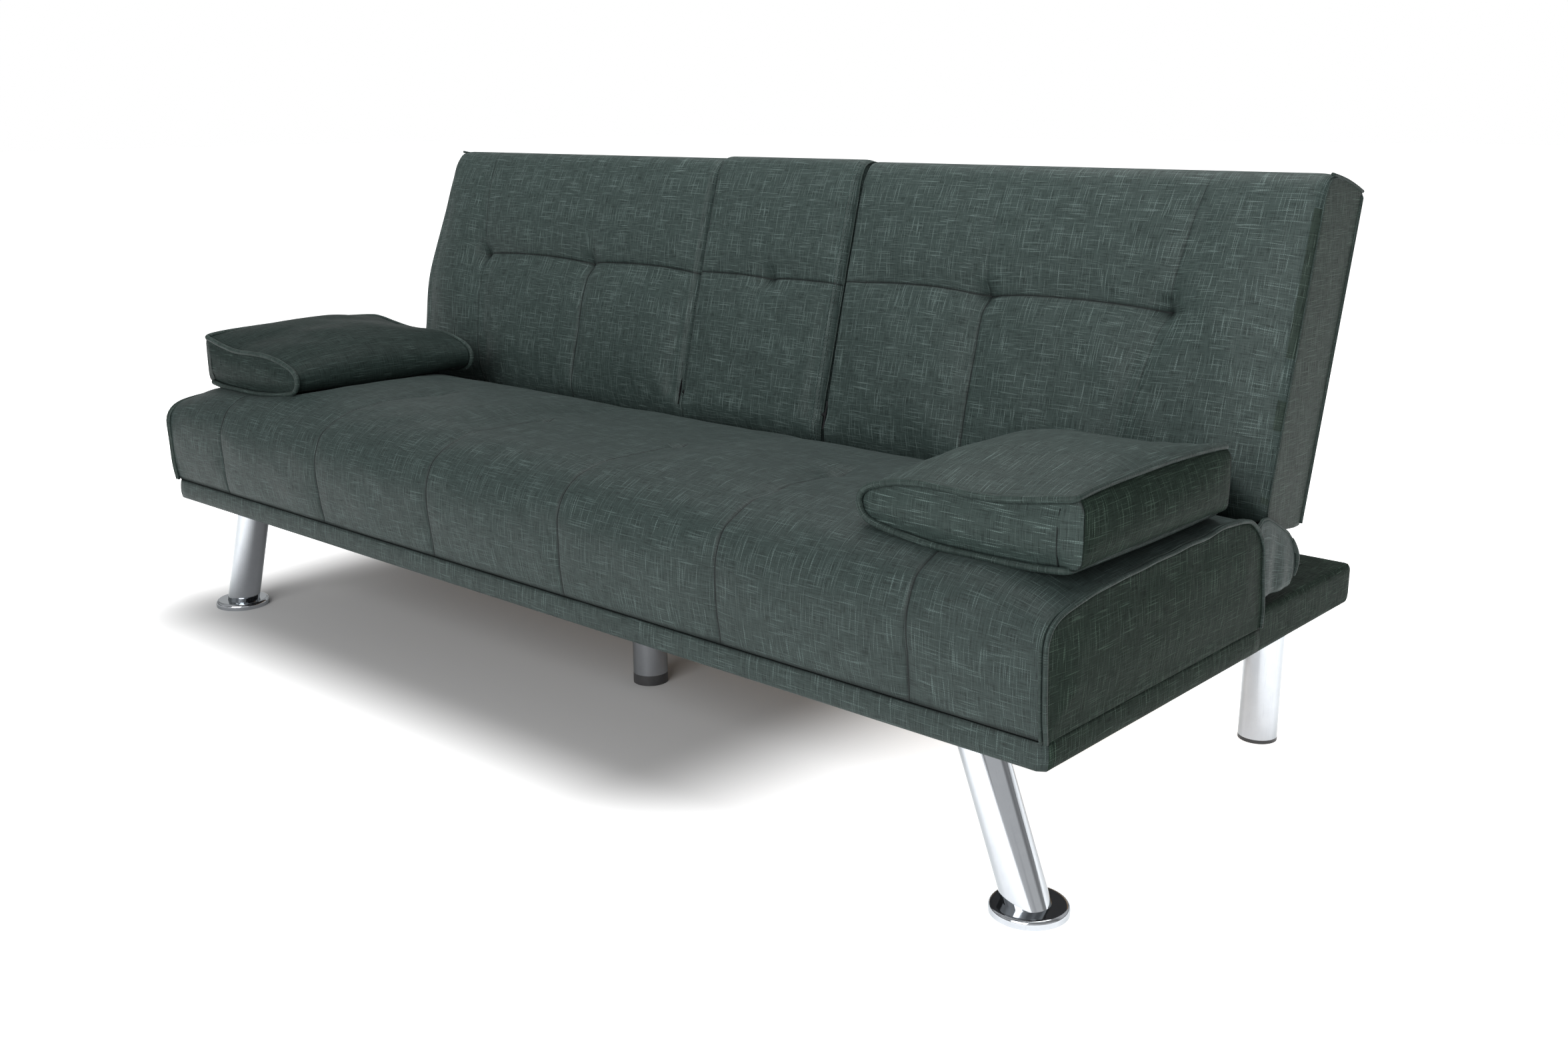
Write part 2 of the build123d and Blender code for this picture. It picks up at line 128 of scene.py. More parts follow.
def splineThrough(knots, values, at):
    # smooth curve through a few points, read off at many
    knots, values = np.asarray(knots, float), np.asarray(values, float)
    slopes = np.gradient(values, knots, axis=0)
    spot = np.clip(np.searchsorted(knots, at, side="right") - 1, 0, len(knots) - 2)
    width = knots[spot + 1] - knots[spot]
    part = (at - knots[spot]) / width
    grow = (slice(None),) + (None,) * (values.ndim - 1)
    part, width = part[grow], width[grow]
    start, end = values[spot], values[spot + 1]
    return (start * (2 * part ** 3 - 3 * part ** 2 + 1) + end * (3 * part ** 2 - 2 * part ** 3)
            + slopes[spot] * width * (part ** 3 - 2 * part ** 2 + part)
            + slopes[spot + 1] * width * (part ** 3 - part ** 2))


def alongPath(points):
    steps = np.linalg.norm(np.diff(np.asarray(points, float), axis=0), axis=1)
    return np.concatenate([[0.0], np.cumsum(steps)])


def smoothStep(low, high, value):
    part = np.clip((value - low) / (high - low), 0, 1)
    return part * part * (3 - 2 * part)


def bell(value, width):
    return np.exp(-(value / width) ** 2)


def lines(low, high, step, crowded=(), near=(1.3, 3.2, 6.5)):
    # evenly spaced grid lines, closer together beside each seam
    even = np.linspace(low, high, max(2, round((high - low) / step) + 1))
    extra = [c + side * gap for c in crowded for gap in (0, *near) for side in (-1, 1)]
    extra = [e for e in extra if low < e < high]
    even = [e for e in even if all(abs(e - x) > step * 0.35 for x in extra) or e in (low, high)]
    found = sorted({round(float(e), 3) for e in [*even, *extra]})
    return np.array([e for i, e in enumerate(found) if i == 0 or e - found[i - 1] > 0.3])


def ringNormals(rings):
    onward = np.gradient(rings, axis=0)
    aroundRing = np.roll(rings, -1, axis=1) - np.roll(rings, 1, axis=1)
    normal = np.cross(onward, aroundRing)
    normal /= np.linalg.norm(normal, axis=2, keepdims=True) + 1e-9
    away = rings - rings.mean(axis=1, keepdims=True)
    return normal * np.sign((normal * away).sum())


def loft(form, rings, seam=None, capSteps=10, capBulge=0.0, capReach=40.0, capFlat=(1, 2)):
    # rings: count x around x 3. The first half of each ring goes over, the second half comes back under.
    around = rings.shape[1]
    half = around // 2
    index = addPoints(form, rings, seam)
    walk = alongPath(rings.mean(axis=0)[list(range(around)) + [0]])
    middle = rings.mean(axis=1)
    along = alongPath(middle)
    weave = np.stack(np.broadcast_arrays(along[:, None], walk[None, :]), -1)
    addQuads(form, np.concatenate([index, index[:, :1]], axis=1), weave)
    for end in (0, -1):
        over = index[end][:half + 1]
        under = index[end][[0, *range(around - 1, half - 1, -1)]]
        flat = np.concatenate(form["points"])
        top, low = flat[over], flat[under]
        share = np.linspace(0, 1, capSteps + 1)[None, :, None]
        sheet = top[:, None] * (1 - share) + low[:, None] * share
        inner = sheet[1:-1, 1:-1]
        out = rings[end] - rings[1 if end == 0 else -2]
        out = out.mean(axis=0) / np.linalg.norm(out.mean(axis=0))
        edge = np.linalg.norm(inner[:, :, None] - rings[end][None, None], axis=3).min(axis=2)
        inner = inner + out * (capBulge * smoothStep(0, capReach, edge))[..., None]
        grid = np.zeros((half + 1, capSteps + 1), int)
        grid[:, 0], grid[:, -1] = over, under
        grid[0], grid[-1] = over[0], over[-1]
        grid[1:-1, 1:-1] = addPoints(form, inner)
        places = sheet.copy()
        places[1:-1, 1:-1] = inner
        addQuads(form, grid, places[..., list(capFlat)])


def tube(form, path, radius, sides=8, closed=False):
    # a cord that follows a path of many points
    path = np.asarray(path, float)
    ahead = np.roll(path, -1, axis=0) - np.roll(path, 1, axis=0)
    if not closed:
        ahead[0], ahead[-1] = path[1] - path[0], path[-1] - path[-2]
    ahead /= np.linalg.norm(ahead, axis=1, keepdims=True)
    side = np.cross(ahead[0], (0.31, 0.87, 0.38))
    rounds = []
    for direction in ahead:
        side = side - direction * (side @ direction)
        side = side / np.linalg.norm(side)
        rounds.append((side.copy(), np.cross(direction, side)))
    turn = np.linspace(0, 2 * math.pi, sides, endpoint=False)
    ring = np.array([[p + radius * (math.cos(a) * s + math.sin(a) * t) for a in turn]
                     for p, (s, t) in zip(path, rounds)])
    index = addPoints(form, ring)
    index = np.concatenate([index, index[:, :1]], axis=1)
    along = alongPath(path)
    if closed:
        index = np.concatenate([index, index[:1]])
        along = np.append(along, along[-1] + np.linalg.norm(path[0] - path[-1]))
    around = np.linspace(0, 2 * math.pi * radius, sides + 1)
    addQuads(form, index, np.stack(np.broadcast_arrays(along[:, None], around[None, :]), -1))
    if not closed:
        for row in (0, -1):
            tip = addPoints(form, path[row][None, :])
            fan = np.stack([index[row], np.full(sides + 1, tip[0])])
            addQuads(form, fan, np.zeros((2, sides + 1, 2)))


def evenPath(points, step):
    points = np.asarray(points, float)
    along = alongPath(points)
    at = np.linspace(0, along[-1], max(3, round(along[-1] / step) + 1))
    return np.stack([np.interp(at, along, points[:, k]) for k in range(3)], -1)


def stitchRow(form, path, length=4.6, gap=2.4, radius=0.55):
    # a row of short topstitches lying along a path
    fine = evenPath(path, 0.5)
    along = alongPath(fine)
    start = gap
    while start + length < along[-1]:
        at = np.linspace(start, start + length, 4)
        bit = np.stack([np.interp(at, along, fine[:, k]) for k in range(3)], -1)
        tube(form, bit, radius, sides=5)
        start += length + gap


def inflate(rings, held, pressure, limit):
    # blows the closed form up as cloth, held where it is sewn, and gives back how far each point went
    form = newForm()
    loft(form, rings, capSteps=4)
    made = makeObject("swelling", form)
    group = made.vertex_groups.new(name="sewnAndPaintedShade")
    weights = np.ones(form["count"])
    weights[:held.size] = held.reshape(-1)
    for number, weight in enumerate(weights):
        if weight > 0:
            group.add([number], float(weight), "REPLACE")
    cloth = made.modifiers.new("cloth", "CLOTH")
    cloth.settings.quality = 4
    cloth.settings.mass = 0.25
    cloth.settings.tension_stiffness = 12
    cloth.settings.compression_stiffness = 8
    cloth.settings.shear_stiffness = 4
    cloth.settings.bending_stiffness = 0.8
    cloth.settings.use_pressure = True
    cloth.settings.uniform_pressure_force = pressure
    cloth.settings.effector_weights.gravity = 0
    cloth.settings.vertex_group_mass = "sewnAndPaintedShade"
    cloth.collision_settings.use_collision = False
    cloth.point_cache.frame_end = 20
    for number in range(1, 21):
        stage.frame_set(number)
    settled = made.evaluated_get(bpy.context.evaluated_depsgraph_get())
    found = np.empty(len(settled.data.vertices) * 3, np.float32)
    settled.data.vertices.foreach_get("co", found)
    moved = found.reshape(-1, 3)[:held.size].reshape(rings.shape) / mm - rings
    mesh = made.data
    bpy.data.objects.remove(made)
    bpy.data.meshes.remove(mesh)
    stage.frame_set(1)
    far = np.linalg.norm(moved, axis=2, keepdims=True)
    print("  swelled", round(float(far.mean()), 2), "mm on average,", round(float(far.max()), 1), "at most")
    return moved * np.minimum(1, limit / (far + 1e-6))


def spread(moved, oldAcross, oldRound, newAcross, newRound):
    # carries the swelling of a coarse form over to a fine one
    wide = splineThrough(oldAcross, moved, newAcross)
    return np.swapaxes(splineThrough(oldRound, np.swapaxes(wide, 0, 1), newRound), 0, 1)


def tuftShape(across, along, depth, seed, reach=12.0):
    # a dimple pulled in by a tuft, with faint creases running out of it
    chance = np.random.default_rng(seed)
    away = np.hypot(across, along)
    shape = depth * bell(away, reach) + depth * 0.35 * bell(away, reach * 3.0)
    for number in range(7):
        angle = (number + chance.uniform(-0.3, 0.3)) * 2 * math.pi / 7
        ahead = across * math.cos(angle) + along * math.sin(angle)
        beside = -across * math.sin(angle) + along * math.cos(angle)
        fade = smoothStep(2, 12, ahead) * (1 - smoothStep(18, chance.uniform(38, 62), ahead))
        shape = shape + chance.uniform(0.8, 1.9) * bell(beside, 3.0 + 0.09 * np.abs(ahead)) * fade
    return shape


def unevenness(a, b, seed, size=90.0, count=14):
    # low soft waves, so that no stuffed face is perfectly even
    chance = np.random.default_rng(seed)
    total = np.zeros(np.broadcast(a, b).shape)
    for _ in range(count):
        turn = chance.uniform(0, math.pi)
        length = size * chance.uniform(0.6, 2.2)
        start = chance.uniform(0, 6.3)
        total = total + np.sin((a * math.cos(turn) + b * math.sin(turn)) * 2 * math.pi / length + start)
    return total / math.sqrt(count)


# Node building: every node is put with its settings, and its inputs as values or links.
def put(tree, kind, inputs=(), **settings):
    made = tree.nodes.new("ShaderNode" + kind)
    for key, value in settings.items():
        setattr(made, key, value)
    for socket, value in dict(inputs).items():
        target = made.inputs[socket]
        if isinstance(value, bpy.types.NodeSocket):
            tree.links.new(value, target)
        else:
            target.default_value = value
    return made


def sumOf(tree, operation, a, b=0.0, c=0.0):
    return put(tree, "Math", {0: a, 1: b, 2: c}, operation=operation).outputs[0]


def productOf(tree, a, b):
    return sumOf(tree, "MULTIPLY", a, b)


def blendOf(tree, share, a, b):
    return put(tree, "Mix", {0: share, 6: a, 7: b}, data_type="RGBA").outputs[2]


def remap(tree, value, low=0.0, high=1.0, start=0.0, end=1.0, **settings):
    limits = {"Value": value, "From Min": low, "From Max": high, "To Min": start, "To Max": end}
    return put(tree, "MapRange", limits, **settings).outputs[0]


def noiseOf(tree, place, scale, detail, flat=False, **more):
    inputs = {"Vector": place, "Scale": scale, "Detail": detail, **more}
    return put(tree, "TexNoise", inputs, noise_dimensions="2D" if flat else "3D").outputs[0]


def vectorOf(tree, operation, a, b):
    return put(tree, "VectorMath", {0: a, 1: b}, operation=operation).outputs[0]


def newGroup(name, inputs, outputs):
    tree = bpy.data.node_groups.new(name, "ShaderNodeTree")
    for label, kind, value in inputs:
        socket = tree.interface.new_socket(name=label, in_out="INPUT", socket_type="NodeSocket" + kind)
        if value is not None:
            socket.default_value = value
    for label, kind in outputs:
        tree.interface.new_socket(name=label, in_out="OUTPUT", socket_type="NodeSocket" + kind)
    return tree, tree.nodes.new("NodeGroupInput"), tree.nodes.new("NodeGroupOutput")


def buildLinenWeave():
    # threads both ways, thicker slubs running along some of them, dark flecks and slow colour drift
    tree, given, result = newGroup("linenWeave", [
        ("Cloth", "Vector", None), ("Base", "Color", (0.1, 0.1, 0.1, 1)),
        ("Slub", "Color", (0.3, 0.3, 0.3, 1)), ("Deep", "Color", (0.02, 0.02, 0.02, 1)),
        ("Slubs Along", "Float", 0.6), ("Slubs Across", "Float", 0.6),
        ("Threads", "Float", 900.0)], [("Color", "Color"), ("Height", "Float"), ("Roughness", "Float")])
    cloth, threads = given.outputs["Cloth"], given.outputs["Threads"]
    apart = put(tree, "SeparateXYZ", {0: cloth})
    drift = noiseOf(tree, cloth, 9.0, 3.0, flat=True)
    masks, fine = [], []
    for along, across, share in (("X", "Y", "Slubs Along"), ("Y", "X", "Slubs Across")):
        onward, beside = apart.outputs[along], apart.outputs[across]
        streak = put(tree, "CombineXYZ", {along: productOf(tree, onward, 52.0),
                                          across: productOf(tree, beside, threads)})
        fine.append(noiseOf(tree, streak.outputs[0], 1.0, 1.0, flat=True))
        slubPath = put(tree, "CombineXYZ", {along: productOf(tree, onward, 21.0),
                                            across: productOf(tree, beside, 820.0)})
        dash = remap(tree, noiseOf(tree, slubPath.outputs[0], 1.0, 1.0, flat=True), 0.665, 0.72)
        dots = sumOf(tree, "SINE", productOf(tree, onward, 2600.0))
        dotted = remap(tree, dots, -1.0, 0.6, 0.35)
        masks.append(productOf(tree, productOf(tree, dash, dotted), given.outputs[share]))
    both = sumOf(tree, "MAXIMUM", fine[0], fine[1])
    lights = remap(tree, both, 0.5, 0.8, 0.0, 0.08)
    dark = remap(tree, sumOf(tree, "MINIMUM", fine[0], fine[1]), 0.42, 0.25, 0.0, 0.6)
    mask = sumOf(tree, "MAXIMUM", masks[0], masks[1])
    color = blendOf(tree, dark, given.outputs["Base"], given.outputs["Deep"])
    color = blendOf(tree, lights, color, given.outputs["Slub"])
    color = blendOf(tree, mask, color, given.outputs["Slub"])
    slow = remap(tree, drift, 0.0, 1.0, 0.93, 1.07)
    color = put(tree, "VectorMath", {0: color, "Scale": slow}, operation="SCALE").outputs[0]
    weaveHeight = sumOf(tree, "ADD", both, productOf(tree, mask, 0.5))
    rough = remap(tree, both, 0.3, 0.7, 0.66, 0.5)
    for label, socket in (("Color", color), ("Height", weaveHeight), ("Roughness", rough)):
        tree.links.new(socket, result.inputs[label])
    return tree


def buildScuffs():
    # fine handling marks and a faint cloudiness for smooth hard finishes
    tree, given, result = newGroup("scuffs", [
        ("Place", "Vector", None), ("Scale", "Float", 40.0), ("Amount", "Float", 0.3)],
        [("Mask", "Float"), ("Height", "Float")])
    place = given.outputs["Place"]
    cloud = noiseOf(tree, place, given.outputs["Scale"], 5.0, Roughness=0.65)
    hair = noiseOf(tree, vectorOf(tree, "MULTIPLY", place, (900.0, 900.0, 40.0)), 1.0, 2.0)
    mark = remap(tree, hair, 0.6, 0.75)
    mask = sumOf(tree, "ADD", cloud, productOf(tree, mark, 0.4))
    tree.links.new(productOf(tree, mask, given.outputs["Amount"]), result.inputs["Mask"])
    tree.links.new(mask, result.inputs["Height"])
    return tree


linenWeave = buildLinenWeave()
scuffs = buildScuffs()


def newFinish(name):
    finish = bpy.data.materials.new(name)
    finish.use_nodes = True
    tree = finish.node_tree
    tree.nodes.clear()
    shader = put(tree, "BsdfPrincipled")
    out = put(tree, "OutputMaterial")
    tree.links.new(shader.outputs[0], out.inputs[0])
    return finish, tree, shader


def wire(tree, shader, color, rough, height=None, strength=0.3, depth=0.0004):
    for socket, value in (("Base Color", color), ("Roughness", rough)):
        if isinstance(value, bpy.types.NodeSocket):
            tree.links.new(value, shader.inputs[socket])
        else:
            shader.inputs[socket].default_value = value
    if height is not None:
        bump = put(tree, "Bump", {"Height": height, "Strength": strength, "Distance": depth})
        tree.links.new(bump.outputs[0], shader.inputs["Normal"])


linen = {
    "base": (0.0150, 0.0240, 0.0222, 1), "slub": (0.075, 0.105, 0.1, 1), "deep": (0.002, 0.004, 0.0036, 1),
    # the near-black colour on this line darkens the thin seam lines and is painted shade in seam grooves, tuft
    # dimples and creases
    "sewnAndPaintedShade": (0.002, 0.003, 0.003, 1), "sheen": 0.02, "specular": 0.12,
}


# the tone scales the cloth's colours, and for most pieces paints them lighter or darker for the light they stand
# in
def linenFinish(name, toneAndPaintedLight=(1.0, 1.0, 1.0), slubsAlong=0.75, slubsAcross=0.75, gloss=1.0):
    finish, tree, shader = newFinish(name)
    cloth = put(tree, "UVMap", uv_map="clothMap")
    weave = put(tree, "Group", node_tree=linenWeave)
    tree.links.new(cloth.outputs[0], weave.inputs["Cloth"])
    for label in ("Base", "Slub", "Deep"):
        weave.inputs[label].default_value = tuple(np.multiply(linen[label.lower()][:3], toneAndPaintedLight)) + (1,)
    weave.inputs["Slubs Along"].default_value = slubsAlong
    weave.inputs["Slubs Across"].default_value = slubsAcross
    # the seam shading darkens thin seam lines and paints shade into seam grooves, tuft dimples and creases
    sewnAndPaintedShade = put(tree, "Attribute", attribute_name="seamShade")
    color = blendOf(tree, sewnAndPaintedShade.outputs["Fac"], weave.outputs["Color"], linen["sewnAndPaintedShade"])
    wire(tree, shader, color, weave.outputs["Roughness"], weave.outputs["Height"], 0.55, 0.0005)
    shader.inputs["Specular IOR Level"].default_value = linen["specular"] * gloss
    shader.inputs["Sheen Weight"].default_value = linen["sheen"] * gloss
    shader.inputs["Sheen Roughness"].default_value = 0.45
    shader.inputs["Sheen Tint"].default_value = (0.75, 0.86, 0.85, 1)
    return finish


def objectPlace(tree):
    return put(tree, "TexCoord").outputs["Object"]


def scuffed(tree, amount, scale=40.0):
    made = put(tree, "Group", node_tree=scuffs)
    tree.links.new(objectPlace(tree), made.inputs["Place"])
    made.inputs["Scale"].default_value = scale
    made.inputs["Amount"].default_value = amount
    return made


def metalFinish(name, bright, dull, low, high, bump=0.02, edge=0.0):
    # edge: how much darker the colour is painted where the metal curves away from view, a painted reflection of
    # the shaded floor under the sofa
    finish, tree, shader = newFinish(name)
    marks = scuffed(tree, 1.0)
    color = blendOf(tree, marks.outputs["Mask"], bright, dull)
    if edge:
        turned = put(tree, "LayerWeight", {"Blend": 0.5}).outputs["Facing"]
        color = blendOf(tree, remap(tree, turned, 0.35, 0.9, 0.0, edge), color, (0.12, 0.15, 0.16, 1))
    rough = remap(tree, marks.outputs["Mask"], start=low, end=high)
    wire(tree, shader, color, rough, marks.outputs["Height"], bump, 0.0003)
    shader.inputs["Metallic"].default_value = 1.0
    return finish


def plasticFinish(name, color, worn, low, high):
    finish, tree, shader = newFinish(name)
    marks = scuffed(tree, 1.0, 60.0)
    grain = noiseOf(tree, objectPlace(tree), 1500.0, 1.0)
    rough = remap(tree, marks.outputs["Mask"], start=low, end=high)
    wire(tree, shader, blendOf(tree, marks.outputs["Mask"], color, worn), rough, grain, 0.12, 0.0002)
    return finish


def woodFinish(name, light, dark, stretch, rough):
    # grain drawn out along the board
    finish, tree, shader = newFinish(name)
    drawn = vectorOf(tree, "MULTIPLY", objectPlace(tree), stretch)
    grain = noiseOf(tree, drawn, 1.0, 5.0, Roughness=0.7, Distortion=0.6)
    wire(tree, shader, blendOf(tree, remap(tree, grain, 0.3, 0.7), light, dark), rough, grain, 0.25, 0.0006)
    return finish


def dustClothFinish(name):
    # thin black pressed felt under the seat
    finish, tree, shader = newFinish(name)
    place = objectPlace(tree)
    fibre = put(tree, "TexVoronoi", {"Vector": place, "Scale": 420.0})
    dimple = noiseOf(tree, place, 700.0, 3.0)
    color = blendOf(tree, dimple, (0.008, 0.008, 0.009, 1), (0.03, 0.03, 0.032, 1))
    wire(tree, shader, color, 0.92, fibre.outputs[0], 0.5, 0.0006)
    return finish


# Lit and shaded copies of one linen: the backrest's is painted lighter, and the seat's, the gussets', the sides',
# the left pillow's and the hidden inner cloth's are painted darker for the shade each sits in.
litBackLinen = linenFinish("linenBackPaintedLight", (1.3, 1.24, 1.24), 0.62, 0.62)
shadedSeatLinen = linenFinish("linenSeatPaintedShade", (0.82, 0.82, 0.82), 0.55, 0.6, gloss=1.2)
shadedSideLinen = linenFinish("linenSidesPaintedShade", (0.5, 0.56, 0.45), 0.8, 1.0, gloss=0.2)
shadedGussetLinen = linenFinish("linenGussetPaintedShade", (0.85, 0.85, 0.74), 0.7, 0.7)
pillowLinensLeftShaded = {-1: linenFinish("linenPillowLeftPaintedShade", (0.6, 0.62, 0.6), 0.6, 0.2, gloss=0.5),
                1: linenFinish("linenPillowRight", (0.95, 0.95, 0.93), 0.85, 0.25)}
cordLinen = linenFinish("linenCord", (0.85, 0.85, 0.82), 0.6, 0.6)
shadedInnerLinen = linenFinish("linenInnerPaintedShade", (0.55, 0.55, 0.5), 0.2, 0.2)
threadLinen = linenFinish("linenThread", (0.25, 0.25, 0.25), 0.1, 0.1)
stitchLinen = linenFinish("linenStitch", (2.4, 2.4, 2.4), 0.5, 0.5)
# the chrome legs get a painted reflection: their colour darkens towards their edges
chrome = metalFinish("polishedChrome", (0.5, 0.525, 0.55, 1), (0.42, 0.44, 0.47, 1), 0.03, 0.12, edge=0.75)
zinc = metalFinish("zincSteel", (0.55, 0.56, 0.57, 1), (0.34, 0.35, 0.36, 1), 0.28, 0.5, 0.1)
# steel painted near black as the shade in the gaps where the hinges and console brackets show
shadeDarkSteel = metalFinish("steelPaintedShade", (0.035, 0.035, 0.037, 1), (0.015, 0.015, 0.016, 1), 0.4, 0.65, 0.1)
springSteel = metalFinish("springSteel", (0.3, 0.3, 0.31, 1), (0.16, 0.15, 0.15, 1), 0.3, 0.55, 0.1)
blackPlastic = plasticFinish("blackPlastic", (0.012, 0.012, 0.013, 1), (0.03, 0.03, 0.031, 1), 0.32, 0.55)
cupPlastic = plasticFinish("cupPlastic", (0.016, 0.016, 0.018, 1), (0.05, 0.05, 0.052, 1), 0.22, 0.42)
pine = woodFinish("pineBoard", (0.56, 0.38, 0.2, 1), (0.36, 0.21, 0.1, 1), (9.0, 90.0, 110.0), 0.62)
plywood = woodFinish("plywoodSheet", (0.5, 0.35, 0.2, 1), (0.38, 0.25, 0.13, 1), (14.0, 60.0, 260.0), 0.66)
# board painted near black as the shade in the gaps where the console and stile boards show
boardPaintedShade = woodFinish("boardPaintedShade", (0.03, 0.025, 0.02, 1), (0.015, 0.012, 0.01, 1),
                          (9.0, 90.0, 110.0), 0.7)
dustCloth = dustClothFinish("dustCloth")
foam = plasticFinish("foamRubber", (0.62, 0.58, 0.42, 1), (0.5, 0.45, 0.3, 1), 0.8, 0.95)
print("finishes ready")

bySlot = {"chrome_plate": chrome, "zinc_steel": zinc, "spring_wire": springSteel, "wood_frame": pine,
          "plywood": plywood, "black_plastic": blackPlastic, "cup_plastic": cupPlastic,
          "dust_cloth": dustCloth, "foam": foam}
for name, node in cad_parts.items():
    for spot, given in enumerate(node.data.materials):
        node.data.materials[spot] = bySlot.get(given.name.split(".")[0], shadedInnerLinen)
        # hinge and console bracket steel, the hinge cloth, and the console and stile boards are painted near black
        # as the shade in the gaps they show through
        if name.startswith(("hinge_", "console_brackets", "console_pins")):
            node.data.materials[spot] = shadeDarkSteel if given.name.startswith("zinc") else shadedInnerLinen
        if name in ("console_rail", "console_board", "back_inner_stiles"):
            node.data.materials[spot] = boardPaintedShade

bandLow, bandHigh = boxOf("seat_band")
deckLow, deckHigh = boxOf("deck_cover")
pillowLow, pillowHigh = boxOf("arm_pillow_right")
frontY, rearY = bandLow[1], bandHigh[1]
bandTop = bandHigh[2]
seatHalf = boxOf("seat_cover")[1][0]

seatPad = {
    # outlines as (behind the band's front, above the band's top), over the middle and at the side seam
    "middle": [(1, 0), (-5, 42), (-7, 80), (-5, 106), (6, 131), (27, 147), (55, 157), (95, 162.5), (146, 164),
               (214, 161), (290, 154), (392, 144), (415, 139), (436, 121), (445, 102), (449, 74), (452, 46),
               (454, 0)],
    "side": [(1, 0), (-3, 42), (-5, 79), (-5, 101), (3, 116), (18, 124), (45, 129), (85, 133), (143, 136),
             (214, 138), (290, 139), (392, 140), (410, 135), (433, 118), (444, 102), (449, 74), (452, 46),
             (454, 0)],
    "shoulder": 275.0, "shoulderPower": 4.0,
    "seams": (134.0, 403.0, 671.0), "tuftBehind": 200.0, "tuftDepth": 6.5,
    "grooveDepth": 2.2, "grooveWidth": 1.8, "puff": 1.2, "puffWidth": 18.0,
    "pressure": 5.0, "limit": 9.0, "step": 8.0, "hollowTop": 42.0, "skin": 6.0,
    # distances behind the front, and the height above the floor the seat may reach there
    "consoleRoom": ((60, 210, 340, 421), (380, 378.5, 366, 360.5)),
}


def mirrored(values):
    return sorted([-v for v in values] + list(values))


def pillowUnder(x):
    # underside of an arm pillow, which dents the seat a little
    return splineThrough([540, 575, 610, 656, 731, 788, 828, 860],
                         [388, 381.5, 376.5, 372.5, 371.5, 372, 375.5, 384], np.abs(x))


def seatRings(across, part):
    # part runs 0 to 1 from the front seam over the top to the rear seam, then 1 to 2 back underneath
    middle, side = np.array(seatPad["middle"], float), np.array(seatPad["side"], float)
    knots = alongPath(middle) / alongPath(middle)[-1]
    over = part[part <= 1]
    under = part[part > 1]
    mid, end = splineThrough(knots, middle, over), splineThrough(knots, side, over)
    inset = np.clip(1 - (seatHalf - np.abs(across)) / seatPad["shoulder"], 0, 1)
    share = (1 - inset ** seatPad["shoulderPower"])[:, None, None]
    top = end[None] * (1 - share) + mid[None] * share
    # the underside: down inside the rails' room, flat across, except at the very ends
    back, front = 454.0, 1.0
    skin, rise = seatPad["skin"], seatPad["hollowTop"]
    low = np.array([(back, 0), (back - skin, 0), (back - skin, rise), (front + skin, rise), (front + skin, 0),
                    (front, 0)])
    run = np.array([0, 0.08, 0.2, 0.8, 0.92, 1.0])
    hollow = np.stack([np.interp(under - 1, run, low[:, k]) for k in range(2)], -1)
    flat = np.stack([back + (front - back) * (under - 1), 0 * under], -1)
    hollowed = smoothStep(5.0, 6.5, seatHalf - np.abs(across))[:, None, None]
    base = hollow[None] * hollowed + flat[None] * (1 - hollowed)
    outline = np.concatenate([top, base], axis=1)
    x = np.broadcast_to(across[:, None], outline.shape[:2])
    return np.stack([x, outline[..., 0] + frontY, outline[..., 1] + bandTop], -1)


def seatSeamLine(rings):
    # how strongly each seam pulls at each point: full up to the tufts, faint behind them
    past = rings[..., 1] - frontY - seatPad["tuftBehind"]
    return np.where(rings[..., 2] > bandTop + 1, 1 - 0.85 * smoothStep(-4, 60, past), 0)


def halves(step, total):
    # the same number of points going over as coming back, sharing both ends
    count = round(total / step)
    return np.concatenate([np.linspace(0, 1, count + 1), 1 + np.linspace(0, 1, count + 1)[1:-1]])


